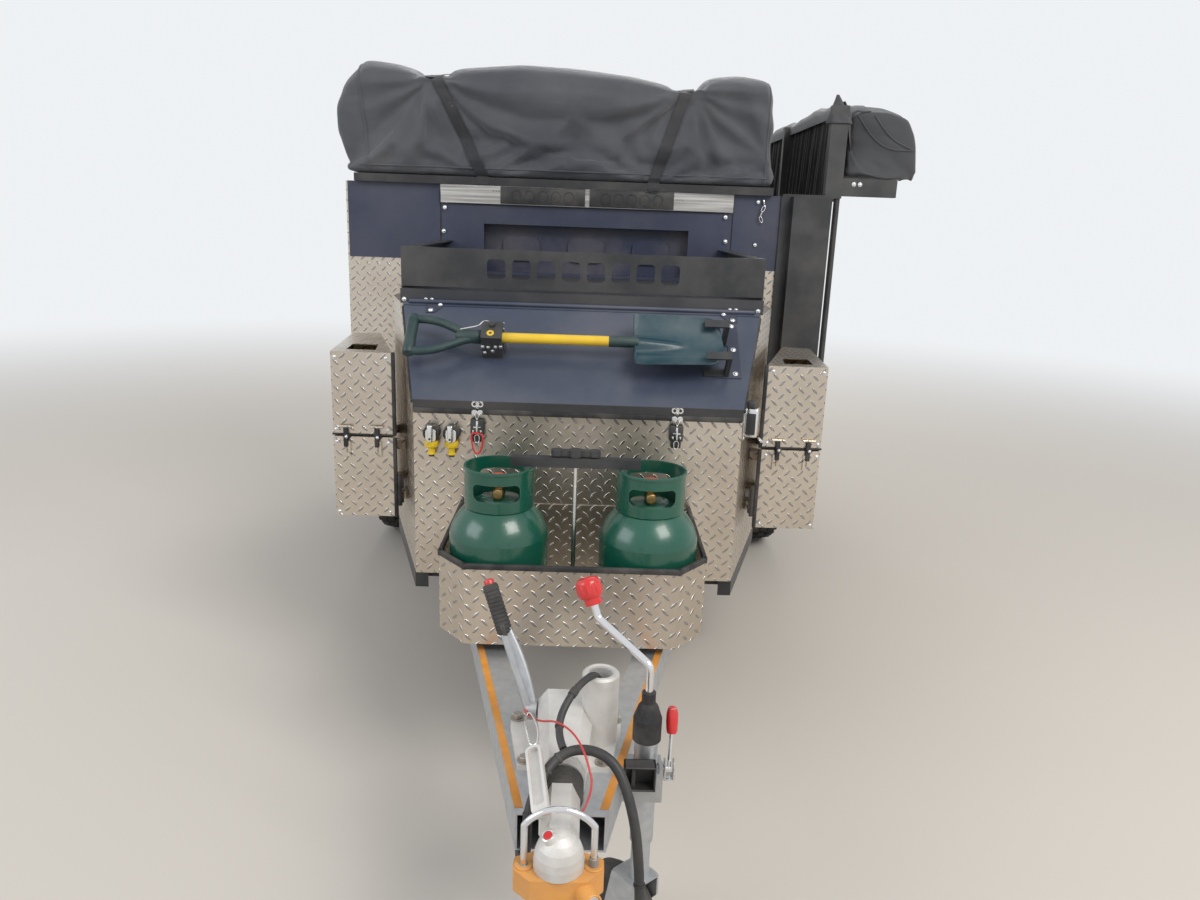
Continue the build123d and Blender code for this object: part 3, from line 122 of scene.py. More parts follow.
def area_lamp(name, place, target, size, watts, colour=(1, 1, 1)):
    data = bpy.data.lights.new(name, "AREA")
    data.shape = "RECTANGLE"
    data.size, data.size_y = size
    data.energy = watts
    data.color = colour
    lamp = bpy.data.objects.new(name, data)
    lamp.location = place
    aim = (Vector(target) - Vector(place)).to_track_quat("-Z", "Y")
    lamp.rotation_euler = aim.to_euler()
    bpy.context.scene.collection.objects.link(lamp)


area_lamp("key", (3.6, -2.8, 5.2), (0, 1.2, 0.3), (3.2, 3.2), 340, (1.0, 0.97, 0.92))
area_lamp("fill", (-5.2, -1.5, 3.2), (0, 1.8, 0.3), (4.0, 3.0), 130, (0.93, 0.96, 1.0))
area_lamp("rear", (0.5, 9.5, 5.0), (0, 3.0, 0.3), (4.5, 3.0), 190)

# %% [markdown]
# The floor is one large sheet. It fades into the sky's own colour with distance, which hides the horizon
# as a curved backdrop would, and it has no gloss, so it mirrors nothing of the trailer.

# %% Floor
ground = -0.5
floor_centre = (0, 1.8, ground)
fade_near, fade_far = 3.4, 11


def new_material(name):
    made = bpy.data.materials.new(name)
    made.use_nodes = True
    made.node_tree.nodes.clear()
    return made, made.node_tree.nodes, made.node_tree.links


floor_mesh = bpy.data.meshes.new("studio_floor")
shape = bmesh.new()
bmesh.ops.create_grid(shape, x_segments=1, y_segments=1, size=30)
bmesh.ops.translate(shape, verts=shape.verts, vec=(0, 6, ground))
shape.to_mesh(floor_mesh)
shape.free()
floor = bpy.data.objects.new("studio_floor", floor_mesh)
bpy.context.scene.collection.objects.link(floor)
floor_paint, floor_nodes, floor_links = new_material("studio_floor")
floor_out = floor_nodes.new("ShaderNodeOutputMaterial")
floor_shader = floor_nodes.new("ShaderNodeBsdfPrincipled")
floor_place = floor_nodes.new("ShaderNodeTexCoord")
floor_from = floor_nodes.new("ShaderNodeVectorMath")
floor_from.operation = "DISTANCE"
floor_from.inputs[1].default_value = floor_centre
floor_far = floor_nodes.new("ShaderNodeMapRange")
floor_far.interpolation_type = "SMOOTHSTEP"
floor_far.inputs["From Min"].default_value = fade_near
floor_far.inputs["From Max"].default_value = fade_far
floor_links.new(floor_place.outputs["Object"], floor_from.inputs[0])
floor_links.new(floor_from.outputs["Value"], floor_far.inputs["Value"])
for socket, near, far in (
    ("Base Color", (0.6, 0.56, 0.51, 1), (0, 0, 0, 1)), ("Emission Color", (0, 0, 0, 1), studio_pale),
):
    fade = floor_nodes.new("ShaderNodeMix")
    fade.data_type = "RGBA"
    fade.inputs["A"].default_value, fade.inputs["B"].default_value = near, far
    floor_links.new(floor_far.outputs["Result"], fade.inputs["Factor"])
    floor_links.new(fade.outputs["Result"], floor_shader.inputs[socket])
floor_shader.inputs["Emission Strength"].default_value = 1.0
floor_shader.inputs["Roughness"].default_value = 0.85
floor_shader.inputs["Specular IOR Level"].default_value = 0.0
floor_links.new(floor_shader.outputs[0], floor_out.inputs["Surface"])
floor_mesh.materials.append(floor_paint)
print("floor fades from", fade_near, "to", fade_far, "m")

# %% [markdown]
# ## Shared surface effects
# Real finishes share a few effects: dust in broad patches, fine grain, and paint rubbed thin along edges.
# Each is one node group with named sockets, so every material can take it with its own amount. Helpers lay
# the nodes, since a chain of sums reads better as calls than as links.

# %% Node helpers


def effect_group(name, inputs, output):
    """An empty shader group with float inputs (name, default, low, high) and one named output."""
    group = bpy.data.node_groups.new(name, "ShaderNodeTree")
    for label, value, low, high in inputs:
        socket = group.interface.new_socket(label, in_out="INPUT", socket_type="NodeSocketFloat")
        socket.default_value, socket.min_value, socket.max_value = value, low, high
    group.interface.new_socket(output, in_out="OUTPUT", socket_type="NodeSocketFloat")
    given, result = group.nodes.new("NodeGroupInput"), group.nodes.new("NodeGroupOutput")
    return group, given.outputs, result.inputs[output]


def feed(tree, socket, value):
    """Links a socket to another one, or gives it a plain value."""
    if isinstance(value, bpy.types.NodeSocket):
        tree.links.new(value, socket)
    else:
        socket.default_value = value


def object_point(tree, scale=(1, 1, 1)):
    place = tree.nodes.new("ShaderNodeTexCoord")
    mapping = tree.nodes.new("ShaderNodeMapping")
    mapping.inputs["Scale"].default_value = scale
    tree.links.new(place.outputs["Object"], mapping.inputs["Vector"])
    return mapping.outputs["Vector"]


def calculate(tree, operation, first, second=0.0):
    node = tree.nodes.new("ShaderNodeMath")
    node.operation = operation
    feed(tree, node.inputs[0], first)
    feed(tree, node.inputs[1], second)
    return node.outputs[0]


def noise(tree, vector, scale, detail=3.0, roughness=0.55):
    node = tree.nodes.new("ShaderNodeTexNoise")
    tree.links.new(vector, node.inputs["Vector"])
    for label, value in (("Scale", scale), ("Detail", detail), ("Roughness", roughness)):
        feed(tree, node.inputs[label], value)
    return node.outputs["Fac"]


def ramp(tree, value, black, white):
    """A grey ramp that runs from black at one level to white at another."""
    node = tree.nodes.new("ShaderNodeValToRGB")
    for element, position, level in zip(node.color_ramp.elements, sorted((black, white)), (0, 1)):
        element.position = position
        element.color = (*([level if black < white else 1 - level] * 3), 1)
    tree.links.new(value, node.inputs["Fac"])
    return node.outputs["Color"]


# %% Dust and grain groups
dust_group, dust_in, dust_out = effect_group(
    "dust", [("Scale", 3.0, 0.1, 200.0), ("Amount", 0.5, 0.0, 1.0)], "Mask"
)
dust_patches = noise(dust_group, object_point(dust_group), dust_in["Scale"], 6, 0.62)
dust_level = ramp(dust_group, dust_patches, 0.42, 0.72)
dust_mask = calculate(dust_group, "MULTIPLY", dust_level, dust_in["Amount"])
dust_group.links.new(dust_mask, dust_out)

grain_group, grain_in, grain_out = effect_group("fine_grain", [("Scale", 400.0, 1.0, 4000.0)], "Height")
grain_height = noise(grain_group, object_point(grain_group), grain_in["Scale"], 4, 0.5)
grain_group.links.new(grain_height, grain_out)
print("groups", dust_group.name, grain_group.name)

# %% [markdown]
# Paint wears off first where a hand or a boot meets an edge. A rounded normal differs from the true one
# only near an edge, so their dot product finds it, and noise breaks the rubbed line into patches.

# %% Edge wear group
wear_group, wear_in, wear_out = effect_group(
    "edge_wear", [("Width", 0.003, 0.0, 0.05), ("Amount", 0.5, 0.0, 1.0)], "Mask"
)
wear_bevel = wear_group.nodes.new("ShaderNodeBevel")
wear_bevel.samples = 4
wear_group.links.new(wear_in["Width"], wear_bevel.inputs["Radius"])
wear_face = wear_group.nodes.new("ShaderNodeNewGeometry")
wear_dot = wear_group.nodes.new("ShaderNodeVectorMath")
wear_dot.operation = "DOT_PRODUCT"
wear_group.links.new(wear_bevel.outputs["Normal"], wear_dot.inputs[0])
wear_group.links.new(wear_face.outputs["Normal"], wear_dot.inputs[1])
wear_turned = ramp(wear_group, wear_dot.outputs["Value"], 0.985, 0.8)
wear_patchy = ramp(wear_group, noise(wear_group, object_point(wear_group), 35, 5), 0.4, 0.62)
wear_both = calculate(wear_group, "MULTIPLY", wear_turned, wear_patchy)
wear_mask = calculate(wear_group, "MULTIPLY", wear_both, wear_in["Amount"])
wear_group.links.new(wear_mask, wear_out)
print("group", wear_group.name)

# %% [markdown]
# ## Finishes
# One helper makes every hard finish: a base colour drifting between two close tones, dust that lightens
# and dulls it, bare metal where edges rub, and a fine grain in the bump. A material for each piece by hand
# would repeat the same twenty nodes, so the numbers alone tell the finishes apart.

# %% Material helpers


def place_group(tree, group, **values):
    """Places a group with its values and returns its output."""
    node = tree.nodes.new("ShaderNodeGroup")
    node.node_tree = group
    for label, value in values.items():
        node.inputs[label].default_value = value
    return node.outputs[0]


def blend_colour(tree, mask, first, second):
    """Mixes two colours, each a socket or a triple, by a mask socket."""
    node = tree.nodes.new("ShaderNodeMix")
    node.data_type = "RGBA"
    tree.links.new(mask, node.inputs["Factor"])
    for socket, value in zip((node.inputs["A"], node.inputs["B"]), (first, second)):
        feed(tree, socket, (*value, 1) if isinstance(value, tuple) else value)
    return node.outputs["Result"]


def mix_value(tree, mask, first, second):
    """first + mask * (second - first), for sockets or numbers."""
    change = calculate(tree, "SUBTRACT", second, first)
    return calculate(tree, "ADD", calculate(tree, "MULTIPLY", change, mask), first)


def box_mask(tree, low, high):
    """One inside a box of Object coordinates, nought outside; None leaves that side open."""
    place = tree.nodes.new("ShaderNodeTexCoord")
    parts = tree.nodes.new("ShaderNodeSeparateXYZ")
    tree.links.new(place.outputs["Object"], parts.inputs[0])
    mask = 1.0
    for axis in range(3):
        for limit, operation in ((low[axis], "GREATER_THAN"), (high[axis], "LESS_THAN")):
            if limit is not None:
                test = calculate(tree, operation, parts.outputs[axis], limit)
                mask = test if mask == 1.0 else calculate(tree, "MULTIPLY", mask, test)
    return mask


def shaded(name, specular):
    """A new material whose Principled shader feeds its output."""
    made, tree_nodes, links = new_material(name)
    out = tree_nodes.new("ShaderNodeOutputMaterial")
    shader = tree_nodes.new("ShaderNodeBsdfPrincipled")
    shader.inputs["Specular IOR Level"].default_value = specular
    links.new(shader.outputs[0], out.inputs["Surface"])
    return made, made.node_tree, shader


def bumped(tree, height, distance, strength, normal=None):
    """The normal that a height gives, laid over another normal if there is one."""
    node = tree.nodes.new("ShaderNodeBump")
    node.inputs["Distance"].default_value = distance
    node.inputs["Strength"].default_value = strength
    tree.links.new(height, node.inputs["Height"])
    if normal:
        tree.links.new(normal, node.inputs["Normal"])
    return node.outputs["Normal"]


# %% One hard finish


def finish(
    name, colour, second, rough, metal=0.0, drift=8.0, dust=(2.5, 0.25), dust_colour=(0.36, 0.33, 0.29),
    wear=None, wear_colour=(0.55, 0.55, 0.56), grain=(500.0, 0.0002), coat=0.0, specular=0.5,
    stretch=(1, 1, 1), zone=None, relief=None,
):
    """A hard finish. A zone (low, high, colour, roughness, metal) paints a box of the piece differently;
    a relief (group, values, depth, colour) adds a raised pattern, its colour a painted reflection on the
    raised parts."""
    made, tree, shader = shaded(name, specular)
    shader.inputs["Coat Weight"].default_value = coat
    shader.inputs["Coat Roughness"].default_value = 0.12
    tone = ramp(tree, noise(tree, object_point(tree, stretch), drift, 5), 0.3, 0.7)
    base = blend_colour(tree, tone, colour, second)
    roughness = calculate(tree, "ADD", calculate(tree, "MULTIPLY", tone, 0.1), rough)
    metallic, normal = metal, None
    if zone:
        zone_low, zone_high, zone_colour, zone_rough, zone_metal = zone
        inside = box_mask(tree, zone_low, zone_high)
    if relief:
        group, values, depth, raised_reflection_colour = relief
        raised = place_group(tree, group, **values)
        if zone:
            raised = calculate(tree, "MULTIPLY", raised, calculate(tree, "SUBTRACT", 1.0, inside))
        base = blend_colour(tree, raised, base, raised_reflection_colour)
        roughness = mix_value(tree, raised, roughness, rough * 0.75)
        normal = bumped(tree, raised, depth, 1.0)
    if zone:
        base = blend_colour(tree, inside, base, zone_colour)
        roughness = mix_value(tree, inside, roughness, zone_rough)
        metallic = mix_value(tree, inside, metal, zone_metal)
    dusty = place_group(tree, dust_group, Scale=dust[0], Amount=dust[1])
    base = blend_colour(tree, dusty, base, dust_colour)
    roughness = calculate(tree, "ADD", calculate(tree, "MULTIPLY", dusty, 0.3), roughness)
    if wear:
        rubbed = place_group(tree, wear_group, Width=wear[0], Amount=wear[1])
        base = blend_colour(tree, rubbed, base, wear_colour)
    tree.links.new(base, shader.inputs["Base Color"])
    tree.links.new(roughness, shader.inputs["Roughness"])
    feed(tree, shader.inputs["Metallic"], metallic)
    fine = place_group(tree, grain_group, Scale=grain[0])
    tree.links.new(bumped(tree, fine, grain[1], 0.6, normal), shader.inputs["Normal"])
    return made


# %% [markdown]
# ## Tread plate
# The plate's lugs are rolled in a grid of square cells. Every second cell holds one, and its lean follows
# its column, so each lug points at the middle of the next. Thousands of lugs as meshes would weigh more than
# the trailer, so a height pattern draws them, and the face's own direction picks the two axes of the grid.

# %% Raised lugs
lug_cell = 0.0204
lug_width = 0.185
lug_reach = 0.69
lug_group, lug_in, lug_out = effect_group(
    "tread_lugs", [("Cell", 0.0208, 0.005, 0.1), ("Width", 0.15, 0.05, 0.3)], "Height"
)


def lug_sum(operation, first, second=0.0):
    return calculate(lug_group, operation, first, second)


def odd(value):
    """Nought for an even whole number and one for an odd one."""
    return lug_sum("MULTIPLY", lug_sum("FRACT", lug_sum("MULTIPLY", value, 0.5)), 2)


def axes_of(output):
    """The three parts of a vector output."""
    parts = lug_group.nodes.new("ShaderNodeSeparateXYZ")
    lug_group.links.new(output, parts.inputs[0])
    return parts.outputs


lug_xyz = axes_of(lug_group.nodes.new("ShaderNodeTexCoord").outputs["Object"])
lug_facing = axes_of(lug_group.nodes.new("ShaderNodeNewGeometry").outputs["True Normal"])
faces_x, faces_z = (lug_sum("GREATER_THAN", lug_sum("ABSOLUTE", lug_facing[axis]), 0.6) for axis in (0, 2))
lug_u = lug_sum("DIVIDE", mix_value(lug_group, faces_x, lug_xyz[0], lug_xyz[1]), lug_in["Cell"])
lug_v = lug_sum("DIVIDE", mix_value(lug_group, faces_z, lug_xyz[2], lug_xyz[1]), lug_in["Cell"])
column = lug_sum("FLOOR", lug_u)
empty = odd(lug_sum("ADD", column, lug_sum("FLOOR", lug_v)))
lean = odd(column)
in_u, in_v = (lug_sum("SUBTRACT", lug_sum("FRACT", value), 0.5) for value in (lug_u, lug_v))
rising, falling = (lug_sum("MULTIPLY", lug_sum(way, in_u, in_v), 0.7071) for way in ("ADD", "SUBTRACT"))
lug_along = mix_value(lug_group, lean, rising, falling)
lug_across = lug_sum("ABSOLUTE", mix_value(lug_group, lean, falling, rising))
taper = lug_sum("POWER", lug_sum("DIVIDE", lug_along, lug_reach), 2)
taper = lug_sum("MULTIPLY", lug_sum("SUBTRACT", 1.0, taper), lug_in["Width"])
lug_edge = lug_group.nodes.new("ShaderNodeMapRange")
lug_edge.interpolation_type = "SMOOTHSTEP"
lug_edge.inputs["From Min"].default_value = -0.005
lug_edge.inputs["From Max"].default_value = 0.085
lug_group.links.new(lug_sum("SUBTRACT", taper, lug_across), lug_edge.inputs["Value"])
lug_height = lug_sum("MULTIPLY", lug_edge.outputs["Result"], lug_sum("SUBTRACT", 1.0, empty))
lug_group.links.new(lug_height, lug_out)
print("lugs of one lean every", 2 * lug_cell, "m")

# %% [markdown]
# Three sheets share the plate. The can covers have a smooth dark top, and the front wall is painted navy
# above the deck, so each of these takes the same values and a zone that differs.

# %% Tread plate finishes
# Both plate tones are painted reflection: the warm tan stands for sunlit ground mirrored in bare aluminium
# plate, which is silver-grey.
plate_reflection_tones = (0.64, 0.58, 0.5), (0.54, 0.47, 0.39)
plate_values = {
    "metal": 1.0, "drift": 5, "dust": (3.0, 0.22), "dust_colour": (0.4, 0.33, 0.26), "grain": (900, 0.0001),
    # The grey on the raised lugs is painted reflection: lugs catching sky and shade, drawn as a colour.
    "relief": (lug_group, {"Cell": lug_cell, "Width": lug_width}, 0.0016, (0.36, 0.36, 0.37)),
}
cover_top = 0.6375
panel_side, panel_foot = 0.6, 0.79
dark_top = ((None, None, cover_top), (None, None, None), (0.16, 0.17, 0.19), 0.24, 1.0)
navy_wall = ((-panel_side, None, panel_foot), (panel_side, None, None), (0.02, 0.026, 0.055), 0.42, 0.0)
tread_plate = finish("tread_plate", *plate_reflection_tones, 0.26, **plate_values)
cover_plate = finish("cover_plate", *plate_reflection_tones, 0.26, zone=dark_top, **plate_values)
front_wall = finish("front_wall", *plate_reflection_tones, 0.26, zone=navy_wall, **plate_values)
print("plate finishes", tread_plate.name, cover_plate.name, front_wall.name)

# %% [markdown]
# ## Metals and paints
# Galvanised steel is a dull grey with cloudy spangles, cast metal is rough, and plated rods are nearly
# mirrors. The black frame paint is rubbed grey on its edges. Each differs by its tones, its dust and grain.

# %% Bare and plated metal
galvanised = finish(
    "galvanised", (0.56, 0.58, 0.6), (0.44, 0.46, 0.49), 0.38, metal=0.85, drift=38,
    dust=(6.0, 0.22), grain=(250, 0.0003),
)
zinc_plate = finish(
    "zinc_plate", (0.7, 0.71, 0.72), (0.58, 0.58, 0.57), 0.22, metal=1.0, drift=20, dust=(10, 0.2),
)
cast_metal = finish(
    "cast_metal", (0.72, 0.7, 0.67), (0.6, 0.58, 0.55), 0.48, metal=0.35, drift=14,
    dust=(9.0, 0.35), dust_colour=(0.3, 0.28, 0.26), grain=(320, 0.0009),
)
chrome = finish(
    "chrome", (0.78, 0.78, 0.79), (0.7, 0.7, 0.72), 0.08, metal=1.0, dust=(12, 0.12), grain=(900, 0.00004),
)

# %% Painted steel
black_frame = finish(
    "black_frame", (0.018, 0.019, 0.021), (0.03, 0.031, 0.034), 0.38, dust=(4.0, 0.1),
    wear=(0.002, 0.25), wear_colour=(0.16, 0.16, 0.17), grain=(700, 0.0004),
)
navy_paint = finish(
    "navy_paint", (0.02, 0.026, 0.055), (0.028, 0.035, 0.07), 0.42, drift=3, dust=(2.2, 0.1),
    grain=(900, 0.0003),
)
# The zone in front of y 1.2235 paints the lid's folded front lip near black: painted shade on a lip that is
# the same navy paint.
lid_paint = finish(
    "lid_paint", (0.035, 0.045, 0.075), (0.045, 0.056, 0.09), 0.34, drift=3, dust=(3.0, 0.1),
    grain=(900, 0.0003), coat=0.2,
    zone=((None, None, None), (None, 1.2235, None), (0.018, 0.018, 0.02), 0.45, 0.0),
)
charcoal_paint = finish(
    "charcoal_paint", (0.02, 0.021, 0.026), (0.032, 0.033, 0.04), 0.4, drift=5, dust=(3.0, 0.1),
    grain=(900, 0.0004),
)

# %% [markdown]
# Some pieces are one solid in the CAD but two finishes in the photo, such as the jockey clamp with its
# bright screw and the brake lever with its rubber end. A zone by Object coordinates parts them, which keeps
# the CAD mesh as it is.

# %% Rubber and two-coloured pieces
rubber = finish(
    "rubber", (0.016, 0.016, 0.017), (0.026, 0.026, 0.027), 0.62, dust=(9.0, 0.22), grain=(600, 0.0005),
    specular=0.35,
)
tyre_rubber = finish(
    "tyre_rubber", (0.022, 0.022, 0.023), (0.034, 0.033, 0.032), 0.72, dust=(6.0, 0.35),
    dust_colour=(0.2, 0.17, 0.14), grain=(420, 0.0008), specular=0.3,
)
cylinder_paint = finish(
    "cylinder_paint", (0.002, 0.066, 0.04), (0.003, 0.084, 0.052), 0.22, drift=6, dust=(5.0, 0.04),
    wear=(0.003, 0.35), wear_colour=(0.25, 0.3, 0.27), grain=(300, 0.0004), coat=0.35,
)
clamp_metal = finish(
    "clamp_metal", (0.5, 0.51, 0.52), (0.38, 0.39, 0.41), 0.36, metal=0.85, drift=25, dust=(8.0, 0.25),
    zone=((0.2015, None, None), (None, None, None), (0.72, 0.72, 0.73), 0.14, 1.0), grain=(300, 0.0005),
)
brake_metal = finish(
    "brake_metal", (0.46, 0.47, 0.48), (0.34, 0.35, 0.36), 0.4, metal=0.85, drift=25, dust=(8.0, 0.3),
    zone=((None, None, 0.193), (None, None, None), (0.016, 0.016, 0.017), 0.55, 0.0), grain=(300, 0.0005),
)
lock_paint = finish(
    "lock_paint", (0.72, 0.33, 0.075), (0.62, 0.27, 0.055), 0.4, drift=14, dust=(12.0, 0.22),
    wear=(0.004, 0.6), wear_colour=(0.36, 0.2, 0.1), grain=(220, 0.001),
)

# %% Plastics, lenses and boards
yellow_plastic = finish("yellow_plastic", (0.72, 0.5, 0.02), (0.62, 0.42, 0.02), 0.42, dust=(8, 0.1))
red_plastic = finish(
    "red_plastic", (0.62, 0.012, 0.012), (0.5, 0.01, 0.012), 0.26, dust=(14, 0.1), coat=0.3,
)
rim_paint = finish(
    "rim_paint", (0.02, 0.021, 0.023), (0.035, 0.036, 0.04), 0.34, dust=(7, 0.22), wear=(0.003, 0.3),
)
tail_lens = finish("tail_lens", (0.34, 0.01, 0.01), (0.44, 0.016, 0.014), 0.12, dust=(8, 0.08), coat=0.6)
liner_board = finish("liner_board", (0.42, 0.41, 0.39), (0.36, 0.35, 0.33), 0.6, dust=(4, 0.2))
base_board = finish("base_board", (0.012, 0.012, 0.014), (0.02, 0.02, 0.022), 0.5, dust=(4, 0.15))

# %% [markdown]
# A finish goes on by the node's name. Nodes that a dressed piece replaces later need none of their own.

# %% Give the nodes their finishes
node_finishes = {
    tread_plate: (
        "gas_tray", "nose_front", "nose_sides", "can_holders",
        "body_side_left", "body_side_right", "body_rear", "hatch_left", "side_door_right",
        "rear_door", "body_roof",
    ),
    galvanised: (
        "drawbar_rails", "jockey_tube", "jockey_ram", "jockey_fork", "stabiliser_left", "stabiliser_right",
    ),
    front_wall: ("body_front",),
    cover_plate: ("can_cover_left", "can_cover_right"),
    clamp_metal: ("jockey_clamp",),
    brake_metal: ("handbrake_lever",),
    cast_metal: ("coupling_housing", "coupling_head"),
    chrome: ("jockey_crank", "shackle"),
    black_frame: (
        "chassis_rails", "cross_members", "gas_clamp", "rack", "awning_frame", "axle_beam", "axle_arms",
        "shovel_clamps", "wheel_arches",
    ),
    navy_paint: ("front_panels",),
    lid_paint: ("nose_lid",),
    charcoal_paint: ("nose_deck",),
    rubber: ("bellows", "jockey_boot", "jockey_wheel"),
    rim_paint: ("rim_left", "rim_right", "rim_spare"),
    cylinder_paint: ("gas_cylinders",),
    lock_paint: ("hitch_lock",),
    yellow_plastic: ("water_cans",),
    tail_lens: ("tail_lamps",),
    liner_board: ("floors",),
    base_board: ("tent_base",),
}
for material, names in node_finishes.items():
    for name in names:
        nodes[name].data.materials.clear()
        nodes[name].data.materials.append(material)
dressed = {node for names in node_finishes.values() for node in names}
print("nodes left for dressed pieces:", sorted(set(nodes) - dressed))

# %% [markdown]
# ## Building helpers
# Each fitting is drawn in a mesh of its own, set in place by one matrix and added to the piece it belongs
# to. A finished piece keeps its object at the origin, so its place is in its mesh like a CAD node's.
# A lathe outline, a bevelled block, a flat plate and a bent wire are enough for nearly all of them.

# %% Places


def basis(origin, along, side=(1, 0, 0)):
    """A matrix that sets local Z along a direction and local X near a side direction."""
    z = Vector(along).normalized()
    y = z.cross(Vector(side)).normalized()
    x = y.cross(z)
    return Matrix.Translation(origin) @ Matrix((x, y, z)).transposed().to_4x4()


def facing(x, y, z):
    """A matrix on an upright face that looks forward: local Z points to the camera's side."""
    return basis((x, y, z), (0, -1, 0))


def shift(x, y, z):
    return Matrix.Translation((x, y, z))


def turns(count, start=Matrix()):
    """Matrices that turn a shape round a place's local Z, count times in a full circle."""
    return [start @ Matrix.Rotation(math.tau * step / count, 4, "Z") for step in range(count)]


# %% Shapes


def add_part(shape, part, matrix=None, slot=0):
    """Moves a small mesh into place and adds it to a piece with its material slot."""
    if matrix:
        bmesh.ops.transform(part, matrix=matrix, verts=part.verts)
    for face in part.faces:
        face.material_index = slot
    loose = bpy.data.meshes.new("part")
    part.to_mesh(loose)
    part.free()
    shape.from_mesh(loose)
    bpy.data.meshes.remove(loose)


def soften(part, width, segments=1):
    """Rounds every edge of a small mesh."""
    bmesh.ops.bevel(
        part, geom=part.edges[:], offset=width, affect="EDGES", segments=segments, profile=0.5, material=-1
    )


def block(shape, low, high, bevel=0.001, matrix=None, slot=0, segments=2):
    part = bmesh.new()
    made = bmesh.ops.create_cube(part, size=1)["verts"]
    low, high = Vector(low), Vector(high)
    bmesh.ops.scale(part, verts=made, vec=high - low)
    bmesh.ops.translate(part, verts=made, vec=(low + high) / 2)
    soften(part, bevel, segments)
    add_part(shape, part, matrix, slot)


def turned(shape, profile, matrix=None, slot=0, steps=24):
    """Spins an outline of (radius, height) points round local Z."""
    part = bmesh.new()
    ring = [part.verts.new((radius, 0, height)) for radius, height in profile]
    edges = [part.edges.new(pair) for pair in zip(ring, ring[1:])]
    bmesh.ops.spin(
        part, geom=ring + edges, axis=(0, 0, 1), cent=(0, 0, 0), angle=math.tau, steps=steps, use_merge=True
    )
    bmesh.ops.remove_doubles(part, verts=part.verts, dist=1e-6)
    bmesh.ops.recalc_face_normals(part, faces=part.faces)
    add_part(shape, part, matrix, slot)


def disc(shape, radius, low, high, matrix=None, slot=0, steps=24):
    """A plain turned disc or pin between two heights on local Z."""
    turned(shape, [(0, low), (radius, low), (radius, high), (0, high)], matrix, slot, steps)


def plate(shape, outline, thick, matrix=None, slot=0, bevel=0.0006):
    """Extrudes a flat outline of (x, y) points along local Z."""
    part = bmesh.new()
    face = part.faces.new([part.verts.new((x, y, 0)) for x, y in outline])
    risen = bmesh.ops.extrude_face_region(part, geom=[face])["geom"]
    top = [item for item in risen if isinstance(item, bmesh.types.BMVert)]
    bmesh.ops.translate(part, verts=top, vec=(0, 0, thick))
    bmesh.ops.recalc_face_normals(part, faces=part.faces)
    if bevel:
        soften(part, bevel)
    add_part(shape, part, matrix, slot)


def nurbs_curve(name, points, radius, rings, steps, order=3, closed=False):
    """A round bar along a NURBS line: rings set its roundness and steps its smoothness along the line."""
    curve = bpy.data.curves.new(name, "CURVE")
    curve.dimensions = "3D"
    curve.bevel_depth = radius
    curve.bevel_resolution = rings
    curve.resolution_u = steps
    curve.use_fill_caps = True
    spline = curve.splines.new("NURBS")
    spline.points.add(len(points) - 1)
    for point, place in zip(spline.points, points):
        point.co = (*place, 1)
    spline.order_u = order
    spline.use_endpoint_u = not closed
    spline.use_cyclic_u = closed
    return curve


def mesh_of(curve):
    """A plain mesh of a curve, which is then thrown away."""
    holder = bpy.data.objects.new("holder", curve)
    made = bpy.data.meshes.new_from_object(holder)
    bpy.data.objects.remove(holder)
    bpy.data.curves.remove(curve)
    return made


def wire(shape, points, radius, slot=0, closed=False, rings=2):
    """A bent round wire along a line of points, made a mesh."""
    made = mesh_of(nurbs_curve("wire", points, radius, rings, 6, closed=closed))
    part = bmesh.new()
    part.from_mesh(made)
    bpy.data.meshes.remove(made)
    add_part(shape, part, slot=slot)


def sheet_through(rows, closed=False):
    """A grid bent through rows of points. Closed, each row is a ring and both ends are capped."""
    rows = [[*row, row[0]] if closed else row for row in rows]
    across, along = len(rows[0]) - 1, len(rows) - 1
    part = bmesh.new()
    bmesh.ops.create_grid(part, x_segments=across, y_segments=along, size=0.5)
    for vert in part.verts:
        vert.co = rows[round((vert.co.y + 0.5) * along)][round((vert.co.x + 0.5) * across)]
    if closed:
        bmesh.ops.remove_doubles(part, verts=part.verts, dist=1e-6)
        bmesh.ops.holes_fill(part, edges=part.edges, sides=0)
    part.normal_update()
    bmesh.ops.recalc_face_normals(part, faces=part.faces)
    return part


def thicken(part, thick):
    """Gives an open sheet its thickness."""
    bmesh.ops.solidify(part, geom=part.faces[:], thickness=thick)
    bmesh.ops.recalc_face_normals(part, faces=part.faces)


# %% A finished piece


def new_piece(name, shape, materials, body="trailer", angle=32):
    """Makes the mesh a shaded object with its materials, sharp past an angle, and rides it on a body."""
    mesh = bpy.data.meshes.new(name)
    shape.to_mesh(mesh)
    shape.free()
    for material in materials:
        mesh.materials.append(material)
    mesh.shade_smooth()
    mesh.set_sharp_from_angle(angle=math.radians(angle))
    piece = bpy.data.objects.new(name, mesh)
    bpy.context.scene.collection.objects.link(piece)
    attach(piece, body)
    print(name, len(mesh.polygons), "faces")
    return piece


# %% [markdown]
# ## Cords
# The tow lead, the loom that joins it and the red breakaway cable are flexible, so each follows one smooth
# NURBS line whose control points are the route laid out in the CAD. The tube is the curve's own bevel, which
# keeps it round through every bend. A row of short bars would kink.

